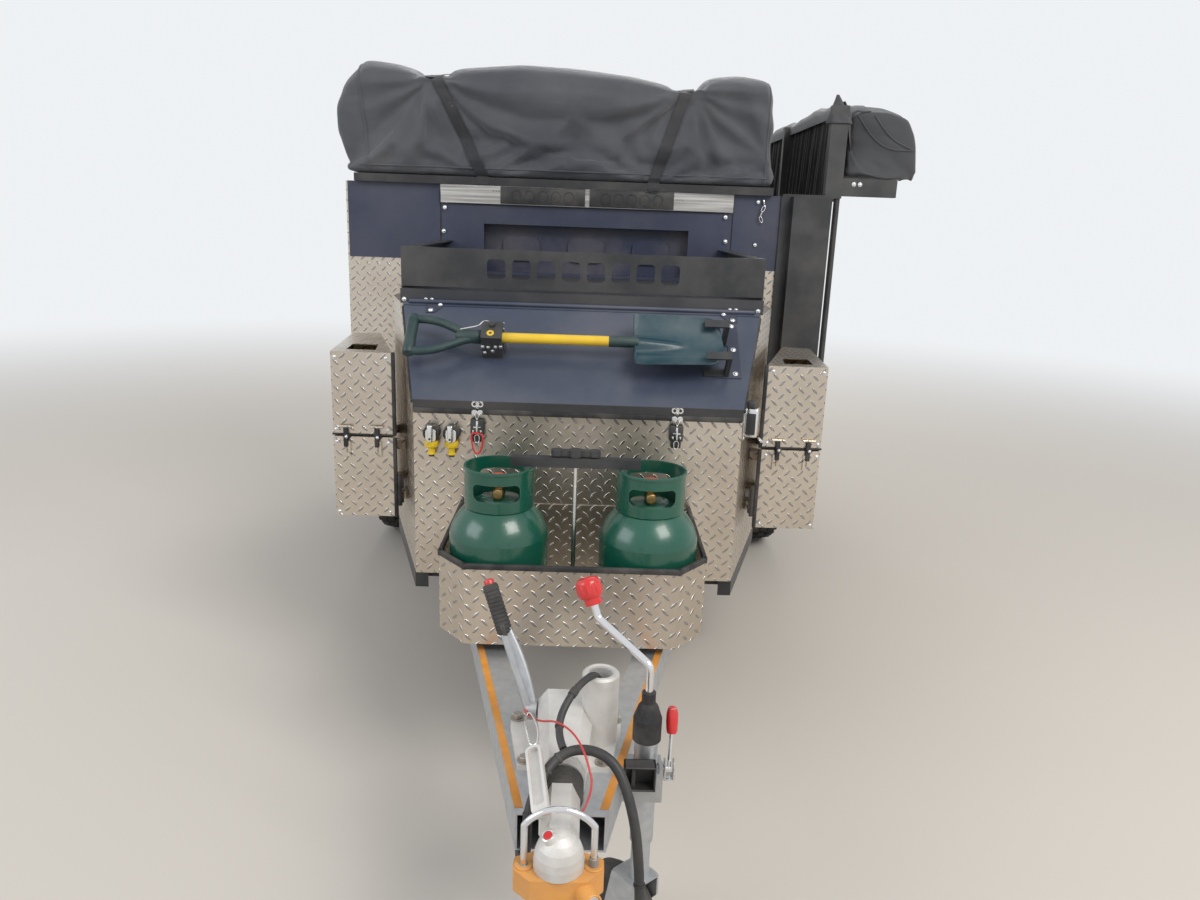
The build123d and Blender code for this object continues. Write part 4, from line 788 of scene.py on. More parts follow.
# %% Cord routes
lead_radius, loom_radius, breakaway_radius = 0.0095, 0.0075, 0.002
lead_route = [
    (-0.09, 0.3, -0.0998), (-0.084, 0.214, -0.0998), (-0.074, 0.112, -0.1138), (-0.06, 0.066, -0.062),
    (-0.06, 0.084, 0.044), (-0.002, 0.168, 0.1), (0.092, 0.138, 0.108), (0.132, 0.092, 0.02),
    (0.146, 0.062, -0.092), (0.148, 0.056, -0.16),
]
loom_route = [
    (-0.0002, 0.1639, 0.0985), (-0.0184, 0.2052, 0.1146), (0.016, 0.27, 0.164), (0.074, 0.362, 0.16),
    (0.074, 0.362, 0.0603),
]
breakaway_route = [
    (-0.074, 0.3631, 0.0455), (-0.088, 0.332, 0.082), (-0.078, 0.284, 0.096), (-0.05, 0.24, 0.106),
    (-0.014, 0.198, 0.136), (0.024, 0.16, 0.13), (0.046, 0.116, 0.104), (0.058, 0.086, 0.066),
    (0.037, 0.062, 0.038),
]
cable_jacket = finish(
    "cable_jacket", (0.02, 0.02, 0.021), (0.032, 0.032, 0.033), 0.46, drift=22, dust=(16.0, 0.22),
    dust_colour=(0.16, 0.14, 0.12), grain=(700, 0.0003),
)
red_jacket = finish("red_jacket", (0.42, 0.012, 0.01), (0.52, 0.02, 0.014), 0.32, dust=(20, 0.15), coat=0.3)


def cord_line(name, route, radius, material, node):
    curve = nurbs_curve(name, route, radius, 5, 14)
    curve.materials.append(material)
    cord = bpy.data.objects.new(name, curve)
    bpy.context.scene.collection.objects.link(cord)
    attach(cord, "trailer")
    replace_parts(cord, node)
    print(name, len(route), "points")
    return cord


tow_cord = cord_line("lead_cord", lead_route, lead_radius, cable_jacket, "tow_lead")
loom_cord = cord_line("loom_cord", loom_route, loom_radius, cable_jacket, "lead_branch")
breakaway_cord = cord_line("breakaway_cord", breakaway_route, breakaway_radius, red_jacket, "breakaway_cable")

# %% [markdown]
# The plug is a ribbed rubber sleeve and a barrel with grip ribs. Both are turned on the lead's last run, so
# the plug stays in line with the lead if its route is changed.

# %% Plug on the lead's end
shape = bmesh.new()
lead_end = Vector(lead_route[-1])
lead_run = (lead_end - Vector(lead_route[-2])).normalized()
plug_gap = 0.0003
plug_place = basis(lead_end + lead_run * plug_gap, lead_run)
sleeve = [(0.0, 0.0), (0.011, 0.0)]
for ring in range(5):
    swell, rise = ring * 0.0003, ring * 0.0055
    sleeve += [(0.0122 + swell, 0.003 + rise), (0.0108 + swell, 0.0055 + rise)]
turned(shape, sleeve + [(0.0135, 0.031), (0.0, 0.031)], plug_place, 0, 28)
barrel = [
    (0.0, 0.03), (0.0175, 0.03), (0.0205, 0.034), (0.021, 0.07), (0.021, 0.074), (0.0255, 0.0745),
    (0.026, 0.0765), (0.0255, 0.0815), (0.021, 0.082), (0.021, 0.0875), (0.019, 0.088), (0.0, 0.088),
]
turned(shape, barrel, plug_place, 0, 36)
for rib in turns(18, plug_place):
    block(shape, (0.02, -0.0013, 0.036), (0.0222, 0.0013, 0.07), 0.0006, rib, 0, 1)
plug_piece = new_piece("lead_plug", shape, [rubber])
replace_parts(plug_piece, "tow_plug")

# %% [markdown]
# Ties hold the two cords together and tape closes the loom's cover. A band must sit on the cord itself, so
# its place is looked up on the curve's own line and its direction is that line's.

# %% Ties and tape on the cords


def cord_band(shape, cord, near, radius, width):
    """A band round a cord, at the point of the cord's own line that is nearest to a place."""
    line = cord.data.copy()
    line.bevel_depth = 0
    made = mesh_of(line)
    points = [v.co.copy() for v in made.vertices]
    bpy.data.meshes.remove(made)
    at = min(range(1, len(points) - 1), key=lambda i: (points[i] - Vector(near)).length)
    half, inner, outer = width / 2, radius - 0.001, radius + 0.0012
    ring = [(inner, -half), (outer, -half), (outer + 0.0004, 0), (outer, half), (inner, half), (inner, -half)]
    turned(shape, ring, basis(points[at], points[at + 1] - points[at - 1]))


shape = bmesh.new()
for near in ((-0.06, 0.08, 0.02), (-0.035, 0.125, 0.08), (-0.012, 0.15, 0.095), (0.145, 0.062, -0.11)):
    cord_band(shape, tow_cord, near, lead_radius, 0.0055)
lead_ties = new_piece("lead_ties", shape, [rubber])
shape = bmesh.new()
cord_band(shape, loom_cord, (0.016, 0.27, 0.15), loom_radius, 0.016)
cord_band(shape, loom_cord, (-0.01, 0.205, 0.118), loom_radius, 0.005)
loom_tape = new_piece("loom_tape", shape, [rubber])

# %% [markdown]
# ## Canvas
# The tent cover and the awning bag are heavy coated canvas. A plain weave at real scale is too fine for the
# camera, so the group mixes a fine weave height with soft broad creases that catch the light.

# %% Canvas weave group
weave_group, weave_in, weave_out = effect_group(
    "canvas_weave", [("Scale", 900.0, 10.0, 4000.0), ("Crease", 0.5, 0.0, 1.0)], "Height"
)
weave_point = object_point(weave_group)
threads = []
for direction in ("X", "Z"):
    wave = weave_group.nodes.new("ShaderNodeTexWave")
    wave.bands_direction = direction
    wave.inputs["Distortion"].default_value = 0.6
    weave_group.links.new(weave_point, wave.inputs["Vector"])
    weave_group.links.new(weave_in["Scale"], wave.inputs["Scale"])
    threads.append(wave.outputs["Fac"])
weave_fine = calculate(weave_group, "MULTIPLY", calculate(weave_group, "ADD", *threads), 0.06)
weave_long = object_point(weave_group, (0.55, 0.55, 1.9))
weave_crease = ramp(weave_group, noise(weave_group, weave_long, 11, 7, 0.6), 0.25, 0.75)
weave_crease = calculate(weave_group, "MULTIPLY", weave_crease, weave_in["Crease"])
weave_group.links.new(calculate(weave_group, "ADD", weave_fine, weave_crease), weave_out)

# %% Canvas finishes


def canvas(name, colour, second, rough=0.62, crease=0.5, sheen=0.25, height=0.004):
    made, tree, shader = shaded(name, 0.35)
    shader.inputs["Roughness"].default_value = rough
    shader.inputs["Sheen Weight"].default_value = sheen
    shader.inputs["Sheen Roughness"].default_value = 0.4
    tone = ramp(tree, noise(tree, object_point(tree), 4, 6, 0.6), 0.32, 0.68)
    base = blend_colour(tree, tone, colour, second)
    dusty = place_group(tree, dust_group, Scale=2.2, Amount=0.16)
    tree.links.new(blend_colour(tree, dusty, base, (0.3, 0.29, 0.27)), shader.inputs["Base Color"])
    woven = place_group(tree, weave_group, Scale=700.0, Crease=crease)
    tree.links.new(bumped(tree, woven, height, 0.7), shader.inputs["Normal"])
    return made


tent_canvas = canvas(
    "tent_canvas", (0.05, 0.054, 0.066), (0.072, 0.076, 0.09), rough=0.52, sheen=0.3, height=0.007,
)
awning_canvas = canvas("awning_canvas", (0.042, 0.044, 0.05), (0.06, 0.062, 0.068))
curtain_cloth = canvas(
    "curtain_cloth", (0.016, 0.016, 0.018), (0.024, 0.024, 0.026), crease=0.3, height=0.002,
)
webbing = canvas(
    "webbing", (0.012, 0.013, 0.018), (0.02, 0.021, 0.027), rough=0.7, crease=0.1, sheen=0.04, height=0.001,
)
print("canvas finishes", [m.name for m in (tent_canvas, awning_canvas, curtain_cloth, webbing)])

# %% [markdown]
# ## Roof tent cover
# The cover is a loose canvas box pulled down by two straps. Sculpting its folds by hand would be slow, and a
# plain box would look like metal. So its sections are lofted from the photo's outline, and a short cloth run
# with slightly too much cloth then makes the folds, held at the hem and the straps.

# %% Outline and straps of the cover
tent_low, tent_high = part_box("tent_cover")
strap_width = 0.045
strap_lines = ((-0.607, 1.555, -0.409, 1.17), (0.379, 1.54, 0.257, 1.17))
strap_reach = 0.05
tent_left, tent_right = -0.935, 0.735
tent_floor, tent_roof = 1.1915, 1.632
tent_outline = [
    (0.0, 0.0), (-0.022, 0.2), (-0.038, 0.42), (-0.042, 0.62), (-0.016, 0.83), (0.03, 1.005),
    (0.105, 0.975), (0.196, 0.905), (0.25, 0.965), (0.4, 1.015), (0.525, 1.0), (0.655, 0.955),
    (0.787, 0.865), (0.835, 0.965), (0.91, 0.99), (0.98, 0.96), (0.994, 0.81), (0.998, 0.55),
    (0.993, 0.0),
]


def tent_section(share):
    """Outline points of the cover at a share of its length, from low left over the top to low right."""
    lift = 0.01 * math.sin(7 * share) + 0.006 * math.sin(17 * share)
    points = []
    for across, up in tent_outline:
        x = tent_left + across * (tent_right - tent_left)
        rise = up * (tent_roof - tent_floor + lift * up)
        points.append((x + (0.006 if x < tent_left else 0.0), tent_floor + rise))
    return points


def tent_dent(x, z, over_top):
    """How far the straps press the cover in at a point, in metres."""
    deepest = 0.0
    for top_x, top_z, low_x, low_z in strap_lines:
        run = max(0.0, min(1.0, (top_z - z) / (top_z - low_z)))
        line = top_x if over_top else top_x + (low_x - top_x) * run
        bite = 0.04 if over_top else 0.026 * (1 - run) + 0.004
        deepest = max(deepest, bite * math.exp(-(((x - line) / strap_reach) ** 2)))
    return deepest


def tent_folds(x, z):
    """Long pulled folds that fan out from where the straps bite, in metres in or out."""
    fold = 0.004 * math.sin(26 * z + 5 * x) * max(0.0, 1 - ((z - 1.32) / 0.12) ** 2)
    for centre_x, centre_z, count, size in (
        (-0.6, 1.56, 15, 0.0085), (0.375, 1.55, 17, 0.0085), (-0.41, 1.18, 13, 0.006),
        (0.26, 1.18, 14, 0.006), (0.72, 1.3, 12, 0.006),
    ):
        away = math.hypot(x - centre_x, z - centre_z)
        angle = math.atan2(z - centre_z, x - centre_x)
        fold += size * math.sin(count * angle + 9 * centre_x) * math.exp(-(((away - 0.16) / 0.2) ** 2))
    return fold


# %% Loft of the tent cover
tent_stations = 34
front_y, rear_y = tent_low.y + 0.018, tent_high.y - 0.014
tent_rings = []
for step in range(tent_stations + 1):
    share = step / tent_stations
    y = front_y + (rear_y - front_y) * share
    tuck = 0.075 * math.exp(-min(share, 1 - share) * (rear_y - front_y) / 0.05)
    ring = []
    for x, z in tent_section(share):
        high = max(0.0, (z - 1.25) / 0.35)
        ring.append((x * (1 - 0.35 * tuck * high), y, z - tuck * high * 0.45))
    tent_rings.append(ring)
tent_form = sheet_through(tent_rings, closed=True)
print("tent form", len(tent_form.faces), "faces")

# %% [markdown]
# The cloth solver wants faces of one size, so the loft is first remeshed evenly. Too long a run would crumple
# the cover, so it stops after 22 frames and no point may leave the loft by more than a cap.

# %% Cloth on a form
settle_frames = 22
cloth_values = {
    "quality": 5, "mass": 0.5, "tension_stiffness": 12, "compression_stiffness": 12, "shear_stiffness": 4,
    "bending_stiffness": 0.6, "air_damping": 3, "vertex_group_mass": "held",
}


def as_shown(piece):
    """A mesh of a piece as its modifiers leave it."""
    return bpy.data.meshes.new_from_object(piece.evaluated_get(bpy.context.evaluated_depsgraph_get()))


def evened(name, form, cell, dent):
    """A closed form remeshed finely, smoothed, and pressed in where its dents say."""
    coarse = bpy.data.meshes.new(name)
    form.to_mesh(coarse)
    form.free()
    piece = bpy.data.objects.new(name, coarse)
    bpy.context.scene.collection.objects.link(piece)
    remesh = piece.modifiers.new("even", "REMESH")
    remesh.mode = "VOXEL"
    remesh.voxel_size = cell
    even = as_shown(piece)
    piece.modifiers.clear()
    piece.data = even
    shape = bmesh.new()
    shape.from_mesh(even)
    for _ in range(3):
        bmesh.ops.smooth_vert(
            shape, verts=shape.verts, factor=0.5, use_axis_x=True, use_axis_y=True, use_axis_z=True
        )
    shape.normal_update()
    for vert in shape.verts:
        vert.co -= vert.normal * dent(vert.co, vert.normal)
    shape.to_mesh(even)
    shape.free()
    return piece


def settle(piece, hold, cap, grow, gravity):
    """Lets a little too much cloth settle where it isn't held. No point moves further than the cap."""
    starts = [v.co.copy() for v in piece.data.vertices]
    held = piece.vertex_groups.new(name="held")
    for vert in piece.data.vertices:
        share = hold(vert.co, vert.normal)
        if share > 0:
            held.add([vert.index], share, "REPLACE")
    cloth = piece.modifiers.new("cloth", "CLOTH")
    for label, value in cloth_values.items():
        setattr(cloth.settings, label, value)
    cloth.settings.shrink_min = -grow
    cloth.settings.effector_weights.gravity = gravity
    cloth.point_cache.frame_start = 1
    cloth.point_cache.frame_end = settle_frames
    for number in range(1, settle_frames + 1):
        bpy.context.scene.frame_set(number)
    settled = as_shown(piece)
    for vert, start in zip(settled.vertices, starts):
        move = vert.co - start
        if move.length > cap:
            vert.co = start + move.normalized() * cap
    piece.modifiers.clear()
    piece.data = settled
    bpy.context.scene.frame_set(1)


def padded_piece(piece, material, node):
    """Gives a settled cover its finish and a finer surface, rides it on the trailer and hides the node it
    replaces.
    """
    piece.data.shade_smooth()
    piece.data.materials.clear()
    piece.data.materials.append(material)
    finer = piece.modifiers.new("finer", "SUBSURF")
    finer.levels = finer.render_levels = 1
    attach(piece, "trailer")
    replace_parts(piece, node)
    print(piece.name, len(piece.data.polygons), "faces")


# %% The cover itself


def tent_dents(place, normal):
    if place.z < 1.2:
        return 0.0
    folds = tent_folds(place.x, place.z) * (1 - max(0.0, normal.z))
    return tent_dent(place.x, place.z, normal.z > 0.6) + folds


def tent_held(place, normal):
    if place.z < 1.215:
        return 1.0
    return 1.0 if tent_dent(place.x, place.z, normal.z > 0.6) > 0.024 else 0.06


tent = evened("roof_tent_cover", tent_form, 0.0185, tent_dents)
settle(tent, tent_held, 0.026, 0.06, 0.3)
padded_piece(tent, tent_canvas, "tent_cover")
print("tent box", [round(v, 3) for v in tent.bound_box[0]], [round(v, 3) for v in tent.bound_box[6]])

# %% [markdown]
# ## Straps and seams on the cover
# Webbing lies on whatever shape the cloth took. Shrinkwrapping a strap would fold it into the creases, so
# each one is laid by casting rays at the settled cover and lifting the hits a little. The corner seams and
# the hem are thin welts laid in the same way.

# %% Lay lines on the cover
from mathutils.bvhtree import BVHTree


def surface_of(piece):
    return BVHTree.FromObject(piece, bpy.context.evaluated_depsgraph_get())


def lay_on(tree, start, direction, lift):
    hit, normal, _, _ = tree.ray_cast(Vector(start), Vector(direction))
    return hit + normal * lift if hit else None


def path_over(top_x, top_z, low_x, low_z, lift, aside=0.0):
    """A line up the cover's front, over its top and down its back."""
    front = [
        lay_on(tent_tree, (
            low_x + (top_x - low_x) * (step / 40) + aside,
            tent_low.y - 0.5,
            low_z + 0.028 + (top_z + 0.03 - low_z - 0.028) * (step / 40),
        ), (0, 1, 0), lift)
        for step in range(41)
    ]
    over = [
        lay_on(tent_tree, (
            top_x + aside, tent_low.y + 0.04 + (tent_high.y - tent_low.y - 0.08) * step / 80, 2.2,
        ), (0, 0, -1), lift)
        for step in range(1, 80)
    ]
    back = [
        lay_on(tent_tree, (
            top_x + aside, tent_high.y + 0.5, top_z - (top_z - 1.2) * step / 16,
        ), (0, -1, 0), lift)
        for step in range(17)
    ]
    line = [hit for hit in front if hit and hit.y < tent_low.y + 0.25]
    line += [hit for hit in over if hit]
    return line + [hit for hit in back if hit and hit.y > tent_high.y - 0.25]


# %% Straps
tent_tree = surface_of(tent)
shape = bmesh.new()
half = strap_width / 2
strap_lift, strap_thick, strap_foot = 0.0055, 0.0022, 1.162
for top_x, top_z, low_x, low_z in strap_lines:
    sides = []
    for aside in (-half, half):
        foot = Vector((low_x + aside, tent_low.y - 0.001, strap_foot))
        sides.append([foot] + path_over(top_x, top_z, low_x, low_z, strap_lift, aside))
    strap = sheet_through(list(zip(*sides)))
    thicken(strap, strap_thick)
    add_part(shape, strap)
new_piece("tent_straps", shape, [webbing])

# %% Seams and hem
shape = bmesh.new()
hem_height = 1.222
welt_lift = 0.0005
for top_x, low_x, top_z in ((-0.885, -0.845, 1.575), (0.69, 0.69, 1.56)):
    wire(shape, path_over(top_x, top_z, low_x, 1.18, welt_lift), 0.0035)
for face_y, way in ((tent_low.y - 0.5, 1), (tent_high.y + 0.5, -1)):
    starts = [(-0.92 + 0.0405 * step, face_y, hem_height) for step in range(41)]
    hem = [lay_on(tent_tree, start, (0, way, 0), welt_lift) for start in starts]
    wire(shape, [place for place in hem if place], 0.003)
for face_x, way in ((-1.5, 1), (1.3, -1)):
    starts = [(face_x, tent_low.y + 0.06 + 0.045 * step, hem_height) for step in range(40)]
    hem = [lay_on(tent_tree, start, (way, 0, 0), welt_lift) for start in starts]
    wire(shape, [place for place in hem if place], 0.003)
new_piece("tent_seams", shape, [tent_canvas])

# %% [markdown]
# ## Awning in its bag
# The rolled awning lies on the frame's arms in a canvas bag. A plain capsule would look blown up, so it gets
# the same loft and short settling as the tent cover, with ties that draw the roll in along its length.

# %% Awning bag
bag_low, bag_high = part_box("awning_bag")
bag_middle, bag_floor = 1.16, 1.2405
bag_stations = 26
bag_outline = [
    (1.01, 1.2415), (1.006, 1.32), (1.006, 1.41), (1.012, 1.505), (1.04, 1.545), (1.11, 1.552),
    (1.19, 1.546), (1.268, 1.52), (1.306, 1.44), (1.318, 1.35), (1.324, 1.292), (1.3, 1.25),
    (1.215, bag_floor), (1.11, bag_floor),
]
bag_rings = []
for step in range(bag_stations + 1):
    share = step / bag_stations
    y = bag_low.y + 0.012 + (bag_high.y - bag_low.y - 0.024) * share
    tuck = 0.16 * math.exp(-min(share, 1 - share) * (bag_high.y - bag_low.y) / 0.035)
    wide = (1 + 0.018 * math.sin(9 * share) + 0.012 * math.sin(23 * share + 1)) * (1 - tuck * 0.4)
    tall = (1 - tuck * 0.6) * (0.965 + 0.02 * math.sin(13 * share))
    bag_rings.append([
        (bag_middle + (x - bag_middle) * wide, y, bag_floor + (z - bag_floor) * tall) for x, z in bag_outline
    ])


def bag_held(place, normal):
    return 1.0 if place.z < 1.252 or place.x < 1.018 else 0.0


def bag_ties(place, normal):
    """Ties draw the roll in at five places along it."""
    tie = min(abs(place.y - (2.42 + 0.41 * step)) for step in range(5))
    return 0.012 * math.exp(-((tie / 0.05) ** 2)) if place.z > 1.27 else 0.0


bag = evened("awning_roll", sheet_through(bag_rings, closed=True), 0.014, bag_ties)
settle(bag, bag_held, 0.024, 0.05, 0.7)
padded_piece(bag, awning_canvas, "awning_bag")

# %% [markdown]
# A strip of the same canvas laps from the rail onto the roll, and its spare corner is bunched up into a
# point over the post. The strip is a grid bent through a row of places at each step; where it meets the
# roll, rays find the roll's own surface, so that its edge doesn't hover.

# %% Cloth over the rail
shape = bmesh.new()
over_rng = random.Random(11)
bag_tree = surface_of(bag)
flap_steps = 60
flap_rows = []
for step in range(flap_steps + 1):
    y = bag_low.y + 0.035 + (bag_high.y - bag_low.y - 0.06) * step / flap_steps
    swell = 0.006 * math.sin(y * 9.5) + 0.004 * math.sin(y * 23 + 1) + over_rng.uniform(-0.0015, 0.0015)
    arc = [(0.962, 1.468), (0.96, 1.496), (0.966, 1.516 + swell), (0.99, 1.529 + swell)]
    for x, lift in ((1.03, 0.0075), (1.06, 0.0045), (1.095, 0.002)):
        hit = lay_on(bag_tree, (x, y, 2.0), (0, 0, -1), lift)
        arc.append((x, hit.z if hit else 1.53))
    flap_rows.append([(x, y, z) for x, z in arc])
flap = sheet_through(flap_rows)
thicken(flap, 0.003)
add_part(shape, flap)

# %% Bunched corner and the roll's end seams
corner_tall = 0.105
corner = bmesh.new()
bmesh.ops.create_cone(corner, cap_ends=True, segments=28, radius1=0.05, radius2=0.005, depth=corner_tall)
upright = [e for e in corner.edges if abs(e.verts[0].co.z - e.verts[1].co.z) > 0.09]
bmesh.ops.subdivide_edges(corner, edges=upright, cuts=9)
for vert in corner.verts:
    rise = vert.co.z / corner_tall + 0.5
    around = math.atan2(vert.co.y, vert.co.x)
    fold = 1 + 0.1 * math.sin(5 * around + 2.4 * rise) + 0.25 * rise * (1 - rise)
    away = math.hypot(vert.co.x, vert.co.y) * fold
    vert.co = (away * math.cos(around) - 0.018 * rise, away * math.sin(around) * 0.75, vert.co.z)
bmesh.ops.recalc_face_normals(corner, faces=corner.faces)
add_part(shape, corner, shift(0.972, 2.356, 1.4925))
for start_x, start_z, sag in ((1.03, 1.5, 0.075), (1.085, 1.515, 0.045)):
    run = []
    for share in (step / 16 for step in range(17)):
        x = start_x + (1.28 - start_x) * share
        z = start_z + (1.35 - start_z) * share - sag * math.sin(math.pi * share) * (1 - 0.4 * share)
        hit = lay_on(bag_tree, (x, 2.2, z), (0, 1, 0), 0.0006)
        if hit and hit.y < bag_low.y + 0.08:
            run.append(hit)
    if len(run) > 4:
        wire(shape, run, 0.0036)
new_piece("awning_flap", shape, [awning_canvas], angle=70)

# %% [markdown]
# Two dark curtains hang gathered under the rail. A cloth run of so long a sheet would be slow and its folds
# uneven, so a fine grid is bent into folds that are shallow at the rail and open out towards the free edge.

# %% Side curtains
curtain_top, curtain_foot = 1.4745, 1.176
fold_pitch = 0.047


def curtain(name, near, far, seed):
    """A gathered sheet between two places along the rail, measured along its lower edge."""
    rng = random.Random(seed)
    shape = bmesh.new()
    bmesh.ops.create_grid(shape, x_segments=168, y_segments=12, size=0.5)
    phase = [rng.uniform(-0.6, 0.6) for _ in range(40)]
    for vert in shape.verts:
        across, fall = vert.co.x + 0.5, 0.5 - vert.co.y
        y = near + (far - near) * across
        fold = (y - near) / fold_pitch * math.tau
        wander = phase[int(fold / math.tau) % 40] * fall
        depth = 0.007 + 0.011 * fall
        x = 0.976 + depth * math.sin(fold + wander) + 0.003 * math.sin(fold * 0.37)
        vert.co = (x, y + 0.004 * fall * math.cos(fold), curtain_top + (curtain_foot - curtain_top) * fall)
    piece = new_piece(name, shape, [curtain_cloth], angle=180)


curtain("awning_curtain_front", 2.373, 3.212, 3)
curtain("awning_curtain_rear", 3.258, 4.097, 5)

# %% [markdown]
# ## Tyres
# An off-road tyre is read by its tread. One casing is spun from half a section and its mirror, and the blocks
# of one pitch are turned round the axle. A height pattern would leave the outline round, but blocks notch it.
# The same mesh serves both wheels and the spare.

# %% Tyre casing
axle_turn = Matrix.Rotation(math.pi / 2, 4, "Y")
casing = [
    (0.208, -0.1025), (0.214, -0.115), (0.22, -0.12), (0.226, -0.1205), (0.229, -0.1245),
    (0.26, -0.129), (0.264, -0.1312), (0.27, -0.1312), (0.274, -0.13), (0.3, -0.1318),
    (0.33, -0.131), (0.352, -0.1275), (0.37, -0.12), (0.381, -0.108), (0.386, -0.095),
    (0.3875, -0.05), (0.388, 0.0),
]
casing += [(radius, -across) for radius, across in reversed(casing[:-1])]
shape = bmesh.new()
turned(shape, casing + [casing[0]], axle_turn, 0, 96)
print("casing", len(shape.faces), "faces")

# %% Tread blocks
pitches = 32
block_foot, block_flare = 0.38, 0.0016
shoulder_x, shoulder_drop = 0.1, 0.006
tread = [
    (-0.035, -0.0045, -0.036, -0.004, 0.006, 0.4), (0.0045, 0.035, -0.016, 0.018, -0.006, 0.4),
    (-0.074, -0.041, -0.022, 0.012, 0.006, 0.3995), (0.041, 0.074, -0.002, 0.032, -0.006, 0.3995),
    (-0.113, -0.08, -0.034, 0.000, 0.0, 0.397), (0.08, 0.113, -0.014, 0.02, 0.0, 0.397),
]


def tread_block(low_x, high_x, near, far, skew, top):
    """One block: a cube that widens to its foot, leans by its skew and drops at the shoulder."""
    lug = bmesh.new()
    for vert in bmesh.ops.create_cube(lug, size=1)["verts"]:
        side, along, is_top = vert.co.x + 0.5, vert.co.y + 0.5, vert.co.z > 0
        flare = 0.0 if is_top else block_flare
        x = low_x + (high_x - low_x) * side + math.copysign(flare, side - 0.5)
        y = near + (far - near) * along + skew * (2 * side - 1) + math.copysign(flare, along - 0.5)
        rise = top if is_top else block_foot
        vert.co = (x, y, rise - shoulder_drop if is_top and abs(x) > shoulder_x else rise)
    soften(lug, 0.0012)
    return lug


for pitch in range(pitches):
    spin = Matrix.Rotation(math.tau * pitch / pitches, 4, "X")
    for row in tread:
        add_part(shape, tread_block(*row), spin)
    for side in (-1, 1):
        bar = spin @ Matrix.Rotation(math.tau / pitches / 4 * side, 4, "X")
        low_x, high_x = sorted((side * 0.113, side * 0.129))
        block(shape, (low_x, -0.014, 0.345), (high_x, 0.014, 0.379), 0.003, bar, 0, 1)
tyre_master = bpy.data.meshes.new("tyre")
shape.to_mesh(tyre_master)
shape.free()
print("tyre", len(tyre_master.polygons), "faces")

# %% Three tyres
axle_x, axle_y, axle_z = 0.84, 3.03, -0.1
spare_low, spare_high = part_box("tyre_spare")


def tyre(name, node, body, matrix):
    shape = bmesh.new()
    shape.from_mesh(tyre_master)
    bmesh.ops.transform(shape, matrix=matrix, verts=shape.verts)
    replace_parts(new_piece(name, shape, [tyre_rubber], body), node)


tyre("road_tyre_left", "tyre_left", "wheel_left", shift(axle_x, axle_y, axle_z))
tyre("road_tyre_right", "tyre_right", "wheel_right", shift(-axle_x, axle_y, axle_z))
spare_place = shift(*((spare_low + spare_high) / 2)) @ Matrix.Rotation(math.pi / 2, 4, "Z")
tyre("road_tyre_spare", "tyre_spare", "rear_door", spare_place)

# %% [markdown]
# ## Fittings on the nose lid
# Hinge leaves, screws, latches and seals are small pressed and turned parts. Each is drawn flat in the
# lid's own directions, so one matrix lays it on the slope and it opens with the lid.

# %% Finishes and places of the fittings
hinge_line, fold_line = Vector((0, 1.5077, 0.783)), Vector((0, 1.219, 0.533))
lid_up = (hinge_line - fold_line).normalized()
lid_out = Vector((1, 0, 0)).cross(lid_up)
latch_x = (-0.292, 0.287)
plate_y = 1.2335
bright_zinc = finish("bright_zinc", (0.8, 0.8, 0.8), (0.7, 0.7, 0.69), 0.16, metal=1.0, dust=(14, 0.1))
black_plastic = finish("black_plastic", (0.014, 0.014, 0.015), (0.022, 0.022, 0.023), 0.44, dust=(12, 0.12))
navy_steel = finish("navy_steel", (0.02, 0.026, 0.05), (0.03, 0.037, 0.064), 0.36, dust=(6, 0.1))


def lid_place(x, along, lift=0.0):
    """A matrix on the lid's sheet: X across the trailer, Y up the slope, Z out of the sheet."""
    return basis(hinge_line + Vector((x, 0, 0)) - lid_up * along + lid_out * (lift - 0.005), lid_out)


def screw(shape, matrix, radius=0.006, slot=0):
    """A domed screw head on its washer, standing along local Z."""
    profile = [(0, 0), (1.5, 0), (1.5, 0.25), (1.0, 0.3), (0.95, 0.55), (0.6, 0.85), (0, 0.95)]
    turned(shape, [(across * radius, rise * radius) for across, rise in profile], matrix, slot, 12)


def front_screws(shape, places, radius, slot=0):
    """Screws in an upright face that looks forward."""
    for place in places:
        screw(shape, facing(*place), radius, slot)


def hex_bolt(shape, matrix, size, slot=0):
    """A washer and a six-sided head, standing along local Z."""
    disc(shape, size * 1.45, 0, size * 0.22, matrix, slot, 20)
    part = bmesh.new()
    bmesh.ops.create_cone(part, cap_ends=True, segments=6, radius1=size, radius2=size, depth=size * 0.8)
    soften(part, size * 0.07)
    bmesh.ops.translate(part, verts=part.verts, vec=(0, 0, size * 0.62))
    add_part(shape, part, matrix, slot)


def laid(matrix, points):
    """Points given along a place's own axes, in the trailer's."""
    return [matrix @ Vector(point) for point in points]


def rounded(width, height, corner, steps=4):
    """Outline points of a rounded rectangle about the origin."""
    points = []
    for quarter, (x, y) in enumerate(((1, 1), (-1, 1), (-1, -1), (1, -1))):
        for step in range(steps + 1):
            angle = math.pi / 2 * (quarter + step / steps)
            points.append((
                x * (width / 2 - corner) + corner * math.cos(angle),
                y * (height / 2 - corner) + corner * math.sin(angle),
            ))
    return points


